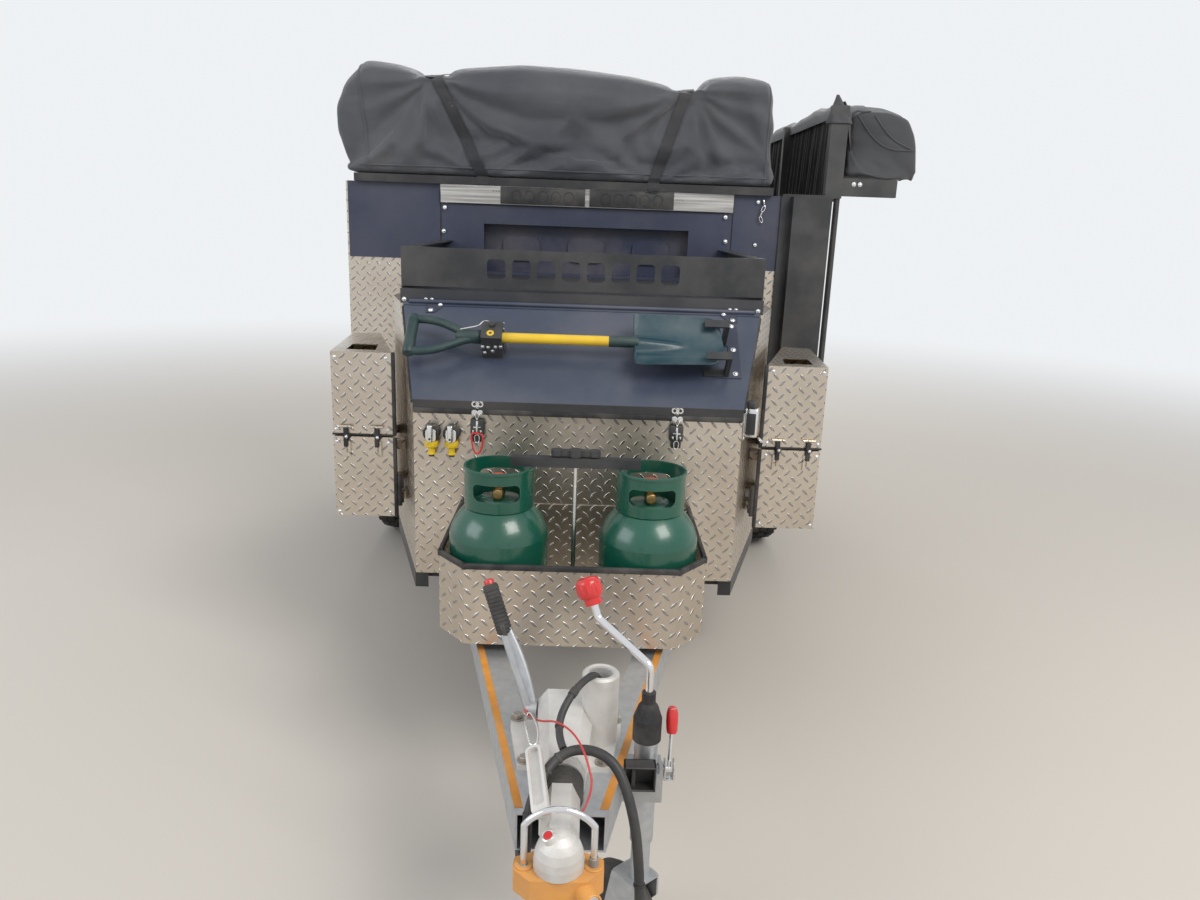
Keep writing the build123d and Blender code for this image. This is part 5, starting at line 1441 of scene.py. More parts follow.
# %% Hinge leaves, hook plate and seals
shape = bmesh.new()
lid_flat = lid_place(0, 0)
leaf = [(0.486, 0.003), (0.43, 0.003), (0.432, -0.013), (0.458, -0.043), (0.484, -0.043)]
for sign in (-1, 1):
    plate(shape, [(sign * x, y) for x, y in leaf], 0.0028, lid_flat)
    for x, along in ((0.443, 0.009), (0.47, 0.034)):
        screw(shape, lid_place(sign * x, along, 0.0026), 0.0052, 1)
    edge = []
    for along in (0.012, 0.14, 0.26, 0.381):
        y = 1.511 - 0.7559 * along
        edge.append((sign * (0.4795 + 0.2792 * (y - 1.2173)), -along, -0.01))
    wire(shape, laid(lid_flat, edge), 0.0058, 2)
hook_plate = [
    (0.442, -0.046), (0.47, -0.046), (0.481, -0.062), (0.481, -0.266), (0.4, -0.266), (0.4, -0.232),
    (0.446, -0.232), (0.446, -0.14), (0.4, -0.14), (0.4, -0.108), (0.446, -0.108),
]
plate(shape, hook_plate, 0.003, lid_flat)
for x, along in ((0.4635, 0.06), (0.4635, 0.156), (0.4635, 0.25), (0.382, 0.1)):
    screw(shape, lid_place(x, along, 0.003), 0.0055, 1)
block(shape, (-0.4775, 1.2178, 0.4905), (0.4775, 1.2268, 0.5065), 0.003, slot=2)
catch_ring = [(0.0045, 0), (0.0088, 0), (0.0098, 0.002), (0.0088, 0.0042), (0.0045, 0.0042), (0.0045, 0)]
for x in latch_x:
    for lobe in (-0.0085, 0.0085):
        turned(shape, catch_ring, facing(x + lobe, 1.2224, 0.5215), 1, 20)
    block(shape, (x - 0.009, 1.2182, 0.5255), (x + 0.009, 1.2222, 0.53), 0.0012, slot=1)
    screw(shape, facing(x, 1.2222, 0.5135), 0.0036, 1)
new_piece("lid_fittings", shape, [navy_steel, bright_zinc, rubber], "nose_lid")

# %% [markdown]
# Two over-centre latches pull the lid down. Each has a black body, a bright lever with a cross slot, and a
# wire loop; the left one carries a red snap hook. Drawn part by part, they read as latches even when small.

# %% Over-centre latches
shape = bmesh.new()
lobe = [(0, 0), (0.0078, 0), (0.0088, 0.0012), (0.0078, 0.0026), (0.004, 0.003), (0, 0.0024)]
latch_loop = [
    (-0.007, 1.2105, 0.433), (0.007, 1.2105, 0.433), (0.0065, 1.2095, 0.409), (-0.0065, 1.2095, 0.409),
]
for x in latch_x:
    block(shape, (x - 0.0145, 1.2145, 0.4105), (x + 0.0145, plate_y, 0.433), 0.002)
    block(shape, (x - 0.02, 1.212, 0.43), (x + 0.02, plate_y, 0.479), 0.005, segments=3)
    block(shape, (x - 0.0034, 1.2088, 0.436), (x + 0.0034, 1.2125, 0.474), slot=1)
    block(shape, (x - 0.011, 1.2092, 0.4525), (x + 0.011, 1.2124, 0.457), slot=1)
    for side in (-1, 1):
        foot = x + side * 0.011
        block(shape, (foot - 0.003, 1.21, 0.4385), (foot + 0.003, 1.2124, 0.4465), slot=1)
        turned(shape, lobe, facing(x + side * 0.0082, 1.2135, 0.4975), 1, 18)
        hook = [(x + side * 0.01, 1.2115, 0.496), (x + side * 0.004, 1.211, 0.487), (x, 1.211, 0.476)]
        wire(shape, hook, 0.0016, 1)
    wire(shape, [(x + reach, y, z) for reach, y, z in latch_loop], 0.0014, 1, True)
snap = [
    (-0.017, 0.431), (-0.011, 0.4395), (0.012, 0.437), (0.0175, 0.43), (0.0165, 0.414), (0.0125, 0.39),
    (0.005, 0.3775), (-0.005, 0.3785), (-0.012, 0.394),
]
wire(shape, [(latch_x[0] + x, 1.206, z) for x, z in snap], 0.0026, 2, True)
new_piece("lid_latches", shape, [black_plastic, bright_zinc, red_plastic])

# %% [markdown]
# The two gas couplings are turned parts: a black bell, a bright face with its lever, and a yellow cap that
# hangs below, ribbed for the fingers. Both come from one loop.

# %% Gas couplings
shape = bmesh.new()
bell = [(0, 0), (0.0245, 0), (0.0245, 0.03), (0.0228, 0.0365), (0.0185, 0.0375), (0.017, 0.033), (0, 0.033)]
cap = [
    (0, 0), (0.0185, 0), (0.0195, 0.002), (0.0195, 0.0135), (0.018, 0.0175), (0.0105, 0.0225),
    (0.0093, 0.036), (0.0118, 0.0372), (0.0118, 0.0405), (0, 0.0405),
]
for x in (-0.424, -0.366):
    outward = facing(x, plate_y, 0.435)
    turned(shape, bell, outward, 0, 32)
    disc(shape, 0.015, 0.033, 0.0435, outward, 1)
    plate(shape, rounded(0.03, 0.036, 0.008), 0.004, outward @ shift(0.001, -0.003, 0.0405), 1)
    block(shape, (x - 0.0072, 1.176, 0.4145), (x + 0.0072, 1.1895, 0.4635), 0.003, None, 1, 3)
    disc(shape, 0.0034, 0, 0.0012, facing(x, 1.1762, 0.424), 0, 12)
    downward = basis((x, 1.21, 0.4125), (0, 0, -1))
    turned(shape, cap, downward, 2, 32)
    for rib in turns(12, downward):
        block(shape, (0.0188, -0.0011, 0.003), (0.0203, 0.0011, 0.0125), 0.0004, rib, 2, 1)
    disc(shape, 0.0085, 0.0403, 0.047, downward, 0, 20)
new_piece("gas_connectors", shape, [black_plastic, bright_zinc, yellow_plastic])

# %% [markdown]
# ## Shovel
# A moulded D-grip, a yellow shaft and a pressed blade. The blade starts as a grid that is bent into a
# shallow dish with a ridge for the socket, then given its sheet thickness, which a flat cut-out can't show.

# %% Shovel finishes
blade_paint = finish(
    "blade_paint", (0.006, 0.036, 0.05), (0.01, 0.05, 0.068), 0.3, drift=7, dust=(7.0, 0.14),
    wear=(0.002, 0.5), wear_colour=(0.16, 0.22, 0.2), grain=(400, 0.0004), coat=0.15,
)
grip_plastic = finish(
    "grip_plastic", (0.003, 0.024, 0.025), (0.005, 0.032, 0.032), 0.4, dust=(9, 0.12), grain=(500, 0.0005),
)
shaft_yellow = finish(
    "shaft_yellow", (0.78, 0.52, 0.02), (0.7, 0.44, 0.018), 0.34, drift=18, dust=(8, 0.08), coat=0.2,
)
print("shovel finishes", blade_paint.name, grip_plastic.name, shaft_yellow.name)

# %% Shaft, socket and grip
shaft_lift = 0.058
shovel_place = lid_place(0, 0.186)
shape = bmesh.new()
along_shaft = shovel_place @ basis((0, 0, shaft_lift), (1, 0, 0), (0, 1, 0))
socket_line = [(0, 0.083), (0.0168, 0.083), (0.0172, 0.088), (0.0172, 0.14), (0.015, 0.17), (0, 0.172)]
neck = [
    (0, -0.372), (0.012, -0.368), (0.0175, -0.345), (0.0205, -0.318), (0.0205, -0.298), (0.0165, -0.292),
    (0, -0.292),
]
grip_bar = [(0, 0), (0.014, 0.0005), (0.0168, 0.004), (0.0178, 0.02), (0.0165, 0.074)]
grip_bar += [(radius, 0.148 - height) for radius, height in reversed(grip_bar[:-1])]
grip_arm = [
    (-0.504, 0.062), (-0.47, 0.063), (-0.425, 0.055), (-0.385, 0.036), (-0.35, 0.016), (-0.312, 0.006),
]
disc(shape, 0.0152, -0.3, 0.084, along_shaft, 2, 28)
turned(shape, socket_line, along_shaft, 1, 28)
turned(shape, neck, along_shaft, 1, 28)
turned(shape, grip_bar, shovel_place @ basis((-0.502, -0.074, shaft_lift), (0, 1, 0)), 1, 28)
for side in (-1, 1):
    arm = [(x, side * y, shaft_lift) for x, y in grip_arm]
    wire(shape, laid(shovel_place, arm), 0.0122, 1, rings=5)

# %% Blade
blade_start, blade_length, blade_half = 0.16, 0.265, 0.098
dish_floor, dish_rise = 0.047, 0.03
blade = bmesh.new()
bmesh.ops.create_grid(blade, x_segments=44, y_segments=36, size=0.5)
for vert in blade.verts:
    length, side = vert.co.x + 0.5, vert.co.y * 2
    wide = blade_half - 0.006 * math.exp(-length / 0.03) - 0.03 * max(0.0, (length - 0.8) / 0.2) ** 2
    y = side * (wide - 0.01 * length)
    fade = max(0.0, 1 - length / 0.62)
    ridge = 0.021 * fade ** 0.7 * math.exp(-((y / (0.01 + 0.012 * fade)) ** 2))
    groove = -0.004 * fade * math.exp(-(((abs(y) - 0.03) / 0.01) ** 2))
    reach = -0.016 * max(0.0, (length - 0.88) / 0.12) * side * side
    x = blade_start + blade_length * length + reach
    vert.co = (x, y, dish_floor + dish_rise * side * side + ridge + groove)
bmesh.ops.recalc_face_normals(blade, faces=blade.faces)
thicken(blade, 0.0028)
add_part(shape, blade, shovel_place)
for side in (-1, 1):
    steps = [0.022 + 0.0175 * step for step in range(5)]
    foot_edge = [(blade_start, side * y, dish_floor + 0.002 + dish_rise * (y / 0.092) ** 2) for y in steps]
    wire(shape, laid(shovel_place, foot_edge), 0.0042, rings=3)
shovel = new_piece("garden_shovel", shape, [blade_paint, grip_plastic, shaft_yellow], "nose_lid", 40)
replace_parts(shovel, "shovel")

# %% [markdown]
# A plate with a yellow stop and a locking cable holds the shaft. The cable is one short bent wire, so it
# is a mesh of its own here and no cord: it never hangs free.

# %% Shovel clamp
clamp_x = -0.262
shape = bmesh.new()
clamp_top = shovel_place @ shift(clamp_x, 0, 0.09)
stop = [(0, 0), (0.0118, 0), (0.0118, 0.0016), (0.0085, 0.0022), (0, 0.0014)]
nut = [(0, 0), (0.0098, 0), (0.0104, 0.004), (0.0088, 0.009), (0, 0.0095)]
turned(shape, stop, clamp_top @ shift(-0.003, -0.013, 0), 0, 28)
turned(shape, nut, clamp_top @ shift(0.000, 0.017, 0), 1, 6)
plate(shape, rounded(0.062, 0.066, 0.006), 0.003, clamp_top @ shift(0, 0, -0.0012), 1)
side_screws = (
    (-0.026, 0.052), (-0.01, 0.05), (0.012, 0.052), (0.027, 0.054), (0.002, 0.034), (-0.022, 0.026),
)
for x, z in side_screws:
    screw(shape, shovel_place @ basis((clamp_x + x, -0.032, z), (0, -1, 0.25)), 0.0042, 2)
cable = [
    (-0.355, 0.008, 0.08), (-0.325, 0.013, 0.084), (-0.3, 0.015, 0.09), (-0.292, 0.026, 0.094),
    (-0.284, 0.04, 0.086), (-0.262, 0.046, 0.07), (-0.236, 0.044, 0.074), (-0.222, 0.034, 0.086),
    (-0.23, 0.026, 0.092),
]
wire(shape, laid(shovel_place, cable), 0.0021, 2, rings=3)
cable_end = [(-0.232, 0.034, 0.06), (-0.226, 0.04, 0.03), (-0.226, 0.034, 0.002)]
wire(shape, laid(shovel_place, cable_end), 0.003, 2)
new_piece("shovel_clamp_fittings", shape, [yellow_plastic, black_plastic, bright_zinc], "nose_lid")

# %% [markdown]
# ## Gas gear
# The valves are brass with a red handwheel, and each bottle has a rolled collar edge and a weld bead round
# its belly. All are turned from their own sections on the bottles' axes. A steel rod and its nut hold the
# clamp bar down.

# %% Cylinder valves and clamp rod
cylinder_x, cylinder_y = 0.193, 0.872
brass = finish("brass", (0.62, 0.44, 0.17), (0.5, 0.34, 0.12), 0.28, metal=1.0, drift=30, dust=(20, 0.25))
handwheel_red = finish("handwheel_red", (0.6, 0.07, 0.03), (0.5, 0.055, 0.025), 0.4, dust=(16, 0.15))
stem = [
    (0, 0.3505), (0.015, 0.3505), (0.015, 0.368), (0.0168, 0.3695), (0.0168, 0.386), (0.0148, 0.3872),
    (0.0148, 0.3965), (0, 0.3965),
]
outlet = [
    (0, 0), (0.0098, 0), (0.0098, 0.026), (0.0132, 0.027), (0.0132, 0.04), (0.0118, 0.0412),
    (0.007, 0.0412), (0.0068, 0.039), (0, 0.039),
]
wheel = [
    (0, 0.3952), (0.0222, 0.3952), (0.0238, 0.3972), (0.0238, 0.4128), (0.0222, 0.4148), (0.011, 0.4152),
    (0.009, 0.4185), (0, 0.4185),
]
bead = [(0.1262, 0.146), (0.1286, 0.1478), (0.1286, 0.1522), (0.1262, 0.154), (0.1262, 0.146)]
rolled = [
    (0.0872, 0.433), (0.09, 0.4345), (0.0906, 0.4385), (0.0895, 0.4424), (0.0872, 0.4427),
    (0.0872, 0.433),
]
shape = bmesh.new()
for x in (-cylinder_x, cylinder_x):
    stand = shift(x, cylinder_y, 0)
    turned(shape, stem, stand)
    turned(shape, outlet, facing(x, cylinder_y, 0.374), 0, 20)
    turned(shape, wheel, stand, 1, 36)
    for rib in turns(12, stand):
        block(shape, (0.0232, -0.0022, 0.3978), (0.0262, 0.0022, 0.4122), 0.0012, rib, 1)
    turned(shape, bead, stand, 2, 64)
    turned(shape, rolled, stand, 2, 48)
new_piece("cylinder_valves", shape, [brass, handwheel_red, cylinder_paint])

shape = bmesh.new()
rod_place = shift(0, cylinder_y, 0)
disc(shape, 0.0058, 0.018, 0.4415, rod_place, 0, 20)
disc(shape, 0.013, 0.0172, 0.0192, rod_place)
hex_bolt(shape, rod_place @ shift(0, 0, 0.0192), 0.013)
new_piece("clamp_rod", shape, [bright_zinc])

# %% [markdown]
# ## Can holders, tray edge and side catch
# The holders close on rubber T-latches and have a rubber seal down each corner. The part of a seal that
# sits on the cover rides with the cover, so it is a piece of its own.

# %% Latches, seals and hinges of the can holders
screw_face = 1.3912
latch_z = 0.3722
hub = [
    (0, -0.004), (0.0112, -0.004), (0.0112, 0.0035), (0.009, 0.006), (0.0084, 0.0115), (0.006, 0.0135),
    (0, 0.0135),
]
holder_shape = bmesh.new()
for side, sign in (("left", 1), ("right", -1)):
    cover_shape = bmesh.new()
    for x in (sign * 0.624, sign * 0.72):
        block(holder_shape, (x - 0.0068, 1.3785, 0.339), (x + 0.0068, 1.388, 0.4055), 0.0024, segments=3)
        turned(holder_shape, hub, facing(x + 0.003, 1.39, latch_z))
        screw(holder_shape, facing(x + 0.003, 1.3765, latch_z), 0.0034, 1)
    low, high = sorted((sign * 0.565, sign * 0.576))
    block(holder_shape, (low, 1.3868, 0.11), (high, 1.3985, 0.369), 0.002)
    block(cover_shape, (low, 1.3868, 0.3752), (high, 1.3985, 0.6365), 0.002)
    low, high = sorted((sign * 0.569, sign * 0.763))
    block(cover_shape, (low, 1.3878, 0.3742), (high, 1.3925, 0.38), 0.0012)
    for shape, corners in (
        (holder_shape, ((0.75, 0.124), (0.588, 0.126), (0.75, 0.352), (0.59, 0.352))),
        (cover_shape, ((0.75, 0.392), (0.59, 0.392), (0.748, 0.618), (0.592, 0.618))),
    ):
        front_screws(shape, [(sign * x, screw_face, rise) for x, rise in corners], 0.0046, 1)
    low, high = sorted((sign * 0.547, sign * 0.568))
    for rise in (0.158, 0.206):
        block(holder_shape, (low, 1.3895, rise), (high, 1.4, rise + 0.034), 0.002)
    disc(holder_shape, 0.0064, 0.15, 0.25, shift(sign * 0.5575, 1.39, 0), 0, 16)
    new_piece("cover_trim_" + side, cover_shape, [rubber, zinc_plate], "can_cover_" + side)
new_piece("holder_latches", holder_shape, [rubber, zinc_plate])

# %% [markdown]
# A rubber channel is pushed over the tray's cut edge, and orange tape marks the drawbar's rails. The channel
# is one rounded section laid along each side of the tray, with a round joint at the corners.

# %% Tray edge and rail tape
tape_orange = finish(
    "tape_orange", (0.7, 0.28, 0.02), (0.56, 0.21, 0.018), 0.34, drift=26, dust=(9, 0.35), coat=0.2,
)
shape = bmesh.new()
edge_z = 0.2195
half_edge = [(0.2642, 0.7362), (0.338, 0.825), (0.338, 1.229)]
tray_edge = [(-x, y) for x, y in reversed(half_edge)] + half_edge
for start, end in zip(tray_edge, tray_edge[1:]):
    run = Vector((end[0] - start[0], end[1] - start[1], 0))
    bent = basis((*start, edge_z), run, (0, 0, 1))
    plate(shape, rounded(0.015, 0.0115, 0.004, 3), run.length, bent, 0, 0)
    disc(shape, 0.0057, 0, 0.015, shift(*start, edge_z - 0.0075), 0, 16)
rail_gap, rail_start, splay = 0.085, 0.12, math.tan(math.radians(13.2))
tape_width, tape_thick = 0.0165, 0.0006
near, far = (rail_gap - 0.001 + splay * (y - rail_start) for y in (0.136, 0.77))
tape = [(near, 0.136), (far, 0.77), (far - tape_width, 0.77), (near - tape_width, 0.136)]
for sign in (-1, 1):
    plate(shape, [(sign * x, y) for x, y in tape], tape_thick, shift(0, 0, -0.0099), 1, 0)
new_piece("tray_edge_and_tape", shape, [rubber, tape_orange])

# %% Side catch
shape = bmesh.new()
side_out = Vector((1, -0.31, 0)).normalized()
catch_place = basis((0.4965, 1.285, 0.482), side_out, (0.31, 1, 0))
block(shape, (-0.03, -0.052, 0.0002), (0.03, 0.052, 0.003), 0.001, catch_place)
block(shape, (-0.021, -0.044, 0.002), (0.021, 0.044, 0.04), 0.006, catch_place, 0, 3)
block(shape, (-0.0235, -0.034, 0.006), (-0.0205, 0.03, 0.034), 0.002, catch_place, 1)
block(shape, (-0.018, 0.044, 0.004), (0.016, 0.064, 0.03), 0.005, catch_place, 1, 3)
bail = [
    (0.01, -0.046, 0.04), (0.01, -0.058, 0.048), (0.004, -0.062, 0.06), (-0.006, -0.056, 0.058),
    (-0.004, -0.046, 0.046),
]
wire(shape, laid(catch_place, bail), 0.0026, 0, True)
for rise in (-0.046, 0.046):
    for reach in (-0.025, 0.025):
        screw(shape, catch_place @ shift(reach, rise, 0.003), 0.003)
new_piece("side_catch", shape, [bright_zinc, black_frame])

# %% [markdown]
# ## Coupling, brake and jockey fittings
# These are the nearest parts to the camera, so bolts, grips and the key barrel get their own turned shapes.
# The crank's knob is spun from its section and gets eight flats for the fingers.

# %% Crank knob
shape = bmesh.new()
knob_place = basis((0.05, 0.368, 0.3), (-10, 8, 28))
knob = [
    (0, -0.002), (0.0176, -0.002), (0.018, 0.0), (0.018, 0.012), (0.0222, 0.0135), (0.0245, 0.018),
    (0.0256, 0.021), (0.0256, 0.042), (0.0248, 0.0465), (0.0215, 0.0505), (0.015, 0.0538),
    (0.008, 0.0545), (0.0074, 0.053), (0, 0.053),
]
turned(shape, knob, knob_place, 0, 32)
for flat in turns(8, knob_place):
    block(shape, (0.0235, -0.0062, 0.0205), (0.0266, 0.0062, 0.0425), 0.0018, flat)
new_piece("crank_knob", shape, [red_plastic], "jockey_leg")

# %% [markdown]
# The brake lever is a flat blade, bowed on one side, with a ribbed grip and a release button. The CAD
# holds it as a plain rod, so the blade is laid round that rod and hides it.

# %% Brake lever
shape = bmesh.new()
brake_foot, brake_tip = Vector((-0.076, 0.385, 0.044)), Vector((-0.173, 0.48, 0.285))
brake_along = (brake_tip - brake_foot).normalized()
ridge_pitch = 0.0085
grip = [(0, -0.004), (0.0135, -0.004), (0.0172, 0.0)]
for ring in range(11):
    rise = ring * ridge_pitch
    grip += [(0.0172, 0.003 + rise), (0.0158, 0.0052 + rise), (0.0172, 0.0074 + rise)]
grip += [(0.017, 0.1), (0.015, 0.105), (0.012, 0.1062), (0, 0.1062)]
turned(shape, grip, basis(brake_tip - brake_along * 0.1052, brake_along), 0, 28)
button = [(0, 0.0), (0.0112, 0.0), (0.0112, 0.0075), (0.01, 0.0105), (0.006, 0.0122), (0, 0.0126)]
turned(shape, button, basis(brake_tip, brake_along), 1)

face_out = Vector((0, -1, 0))
face_out = (face_out - brake_along * face_out.dot(brake_along)).normalized()
blade_thick = 0.018
bare_length = (brake_tip - brake_foot).length - 0.098
lever = [(0.016 + 0.007 * math.sin(math.pi * step / 8), bare_length * step / 8) for step in range(9)]
lever += [(-0.0095, rise) for _, rise in reversed(lever)]
lever_place = basis(brake_foot - face_out * blade_thick / 2, face_out, brake_along.cross(face_out))
plate(shape, lever, blade_thick, lever_place, 5, 0.003)
pivot = [(0, 0), (0.0125, 0), (0.0125, 0.004), (0.008, 0.0055), (0, 0.0055)]
turned(shape, pivot, basis((-0.084, 0.385, 0.044), (-1, 0, 0)), 2)
print("lever", round(bare_length, 3), "m below its grip")

# %% [markdown]
# The jockey clamp closes with a red handle on a forked bracket, four aged bolts hold the housing, and the
# spare socket has a rolled rim. All are fixed to the drawbar, so they share one piece.

# %% Clamp handle, housing bolts and socket rim
handle = [
    (0, 0), (0.0094, 0), (0.0112, 0.005), (0.0124, 0.024), (0.012, 0.04), (0.0092, 0.0505),
    (0.005, 0.054), (0, 0.0542),
]
turned(shape, handle, basis((0.215, 0.2895, 0.058), (0, 0.012, 0.048)), 1, 28)
for low, high in (
    ((0.201, 0.257, -0.029), (0.2045, 0.283, 0.006)),
    ((0.219, 0.257, -0.029), (0.2225, 0.283, 0.006)),
    ((0.201, 0.257, -0.031), (0.2225, 0.283, -0.027)),
):
    block(shape, low, high, 0.0012, slot=2)
hex_bolt(shape, basis((0.2225, 0.27, -0.01), (1, 0, 0)), 0.0075, 2)
for x, y in ((-0.104, 0.42), (0.104, 0.42), (-0.078, 0.266), (0.078, 0.266)):
    hex_bolt(shape, basis((x, y, 0.002), (math.copysign(0.06, x), 0, 1)), 0.0112, 3)
rim = [
    (0.0245, 0.1495), (0.0255, 0.1535), (0.029, 0.1555), (0.034, 0.1545), (0.0382, 0.15),
    (0.0386, 0.142), (0.0386, 0.138), (0.0378, 0.1375), (0.0378, 0.14),
]
turned(shape, rim, shift(0.07, 0.355, 0), 4, 40)
aged_zinc = finish(
    "aged_zinc", (0.46, 0.43, 0.39), (0.34, 0.31, 0.27), 0.42, metal=0.9, drift=40, dust=(30, 0.35),
)
fitting_finishes = [rubber, red_plastic, zinc_plate, aged_zinc, cast_metal, galvanised]
new_piece("drawbar_fittings", shape, fitting_finishes)

# %% [markdown]
# On the head sit a red wear button in its ring, a short coil and collars on the shackle's legs, a spring
# clip and two plugs. Each is a few millimetres high, yet they catch the light at the picture's centre.

# %% Head fittings
shackle_x = 0.06
shape = bmesh.new()
dome_button = basis((-0.019, -0.017, 0.0521), (-0.005, -0.005, 0.016))
button = [(0, 0), (0.0078, 0), (0.0078, 0.001), (0.0066, 0.0018), (0, 0.0014)]
button_ring = [
    (0.008, -0.001), (0.011, -0.001), (0.0112, 0.0008), (0.0098, 0.0016), (0.0082, 0.0012),
    (0.008, -0.001),
]
turned(shape, button, dome_button)
turned(shape, button_ring, dome_button, 1, 28)
coil = [(0.0064, 0), (0.0082, 0.0006), (0.0086, 0.0016), (0.0082, 0.0026), (0.0064, 0.0032), (0.0064, 0)]
for step in range(5):
    turned(shape, coil, shift(shackle_x, 0, -0.0198 + step * 0.0036), 2, 16)
collar = [(0.0062, -0.0203), (0.0115, -0.0203), (0.0115, -0.0188), (0.0062, -0.018), (0.0062, -0.0203)]
for x in (-shackle_x, shackle_x):
    turned(shape, collar, shift(x, 0, 0), 2)
clip = [
    (-0.076, 0.283, 0.098), (-0.066, 0.268, 0.108), (-0.05, 0.215, 0.108), (-0.048, 0.176, 0.102),
    (-0.058, 0.168, 0.1), (-0.066, 0.178, 0.102), (-0.078, 0.24, 0.106),
]
wire(shape, clip, 0.0022, 1, True, rings=3)
plug = [(0, 0), (0.0078, 0), (0.0078, 0.0014), (0.006, 0.0024), (0, 0.002)]
for place, lean in (((-0.01, 0.062, 0.0525), 0.0), ((0.022, 0.052, 0.0475), 0.5)):
    turned(shape, plug, basis(place, (lean, -0.12, 1)), 3, 20)
new_piece("head_fittings", shape, [red_plastic, bright_zinc, aged_zinc, cast_metal])

# %% Hitch lock barrel
shape = bmesh.new()
barrel_face = basis((0.058, -0.062, -0.0413), (0.018, -0.038, 0), (0, 0, 1))
barrel_rim = [
    (0.0132, -0.001), (0.0172, -0.001), (0.0172, 0.0012), (0.016, 0.0024), (0.0136, 0.0024),
    (0.0132, -0.001),
]
barrel_disc = [(0, 0), (0.013, 0), (0.013, 0.001), (0.0118, 0.0018), (0, 0.0018)]
turned(shape, barrel_rim, barrel_face, 0, 32)
turned(shape, barrel_disc, barrel_face, 1, 32)
block(shape, (-0.0042, -0.0008, 0.0012), (0.0042, 0.0008, 0.0022), 0.0003, barrel_face, 2, 1)
ear = [
    (0.0075, -0.0205), (0.0155, -0.0205), (0.0165, -0.0192), (0.015, -0.018), (0.0085, -0.018),
    (0.0075, -0.0205),
]
for x in (-shackle_x, shackle_x):
    turned(shape, ear, shift(x, 0.0, 0), 0, 28)
new_piece("lock_barrel", shape, [lock_paint, zinc_plate, black_plastic], "hitch_lock")

# %% [markdown]
# The black holder by the jockey clamp keeps the plug dry when the trailer is parked. It is an open box of
# five thin walls, because a solid block would have no mouth.

# %% Plug holder
holder_box = bmesh.new()
box_low, box_high = Vector((0.119, 0.224, -0.034)), Vector((0.182, 0.2555, 0.02))
wall = 0.004
for axis, low_side in ((0, True), (0, False), (2, True), (2, False), (1, False)):
    low, high = box_low.copy(), box_high.copy()
    if low_side:
        high[axis] = low[axis] + wall
    else:
        low[axis] = high[axis] - wall
    block(holder_box, low, high, 0.0012, segments=1)
block(holder_box, (0.134, 0.23, -0.03), (0.142, 0.25, 0.012), 0.0015)
new_piece("plug_holder", holder_box, [black_plastic])

# %% [markdown]
# ## Strip and screws on the body
# A brushed strip with two black panels crosses the wall above the recess. Screws hold every panel, and a
# row of them is what makes a flat sheet look fixed rather than drawn.

# %% Front strip and wall screws
brushed = finish(
    "brushed_strip", (0.66, 0.64, 0.61), (0.2, 0.19, 0.18), 0.24, metal=1.0, drift=7, stretch=(0.35, 1, 14),
    dust=(9, 0.2), grain=(700, 0.0002),
)
shape = bmesh.new()
block(shape, (-0.573, 2.312, 1.0905), (0.575, 2.3158, 1.16), 0.0008, segments=1)
button_rim = [(0.0165, 0), (0.0175, 0.0014), (0.02, 0.0014), (0.021, 0), (0.0165, 0)]
for low_x, high_x in ((-0.339, -0.0085), (0.0085, 0.339)):
    block(shape, (low_x, 2.304, 1.093), (high_x, 2.313, 1.158), 0.002, slot=1)
    for share in (0.19 + 0.155 * step for step in range(5)):
        turned(shape, button_rim, facing(low_x + (high_x - low_x) * share, 2.3042, 1.126), 1, 32)
panel_screws = ((-0.557, 1.072), (-0.562, 0.982), (0.547, 1.073), (0.553, 0.98))
front_screws(shape, [(x, 2.316, z) for x, z in panel_screws], 0.0052, 2)
deck_screws = (-0.558, -0.49, -0.471, 0.464, 0.483, 0.553)
front_screws(shape, [(x, 1.515, 0.787) for x in deck_screws], 0.0046, 2)
rivet = [(0, 0), (0.0022, 0), (0.0018, 0.0006), (0, 0.0008)]
for first_x, z, way in ((-0.345, 1.14, -1), (0.352, 1.132, 1)):
    for step in range(3):
        turned(shape, rivet, facing(first_x + way * 0.011 * step, 2.312, z), 1, 12)
new_piece("front_strip", shape, [brushed, black_plastic, bright_zinc])

# %% [markdown]
# ## Doors and lamps
# The hatch and both doors show from the side and behind. Each gets a rubber edge, screws and paddle latches,
# all drawn flat in the door's own directions and carried by the door, so they open with it.

# %% Doors
paddle_black = finish(
    "paddle_black", (0.014, 0.014, 0.015), (0.022, 0.022, 0.024), 0.34, dust=(12, 0.14), grain=(700, 0.0004),
)
key_barrel = [(0, 0.004), (0.009, 0.004), (0.009, 0.0075), (0.0076, 0.0088), (0, 0.0088)]
seal_width = 0.01


def paddle(shape, place):
    """A recessed paddle latch with its key barrel and four screws, in local X and Y, facing local Z."""
    plate(shape, rounded(0.112, 0.082, 0.012), 0.0042, place, 0, 0.0012)
    block(shape, (-0.041, -0.012, 0.003), (0.041, 0.03, 0.0105), 0.004, place, 0, 3)
    block(shape, (-0.03, 0.008, 0.009), (0.03, 0.026, 0.0135), 0.002, place)
    turned(shape, key_barrel, place @ shift(0, -0.026, 0), 1, 20)
    for x in (-0.048, 0.048):
        for y in (-0.033, 0.033):
            screw(shape, place @ shift(x, y, 0.004), 0.0032, 1)


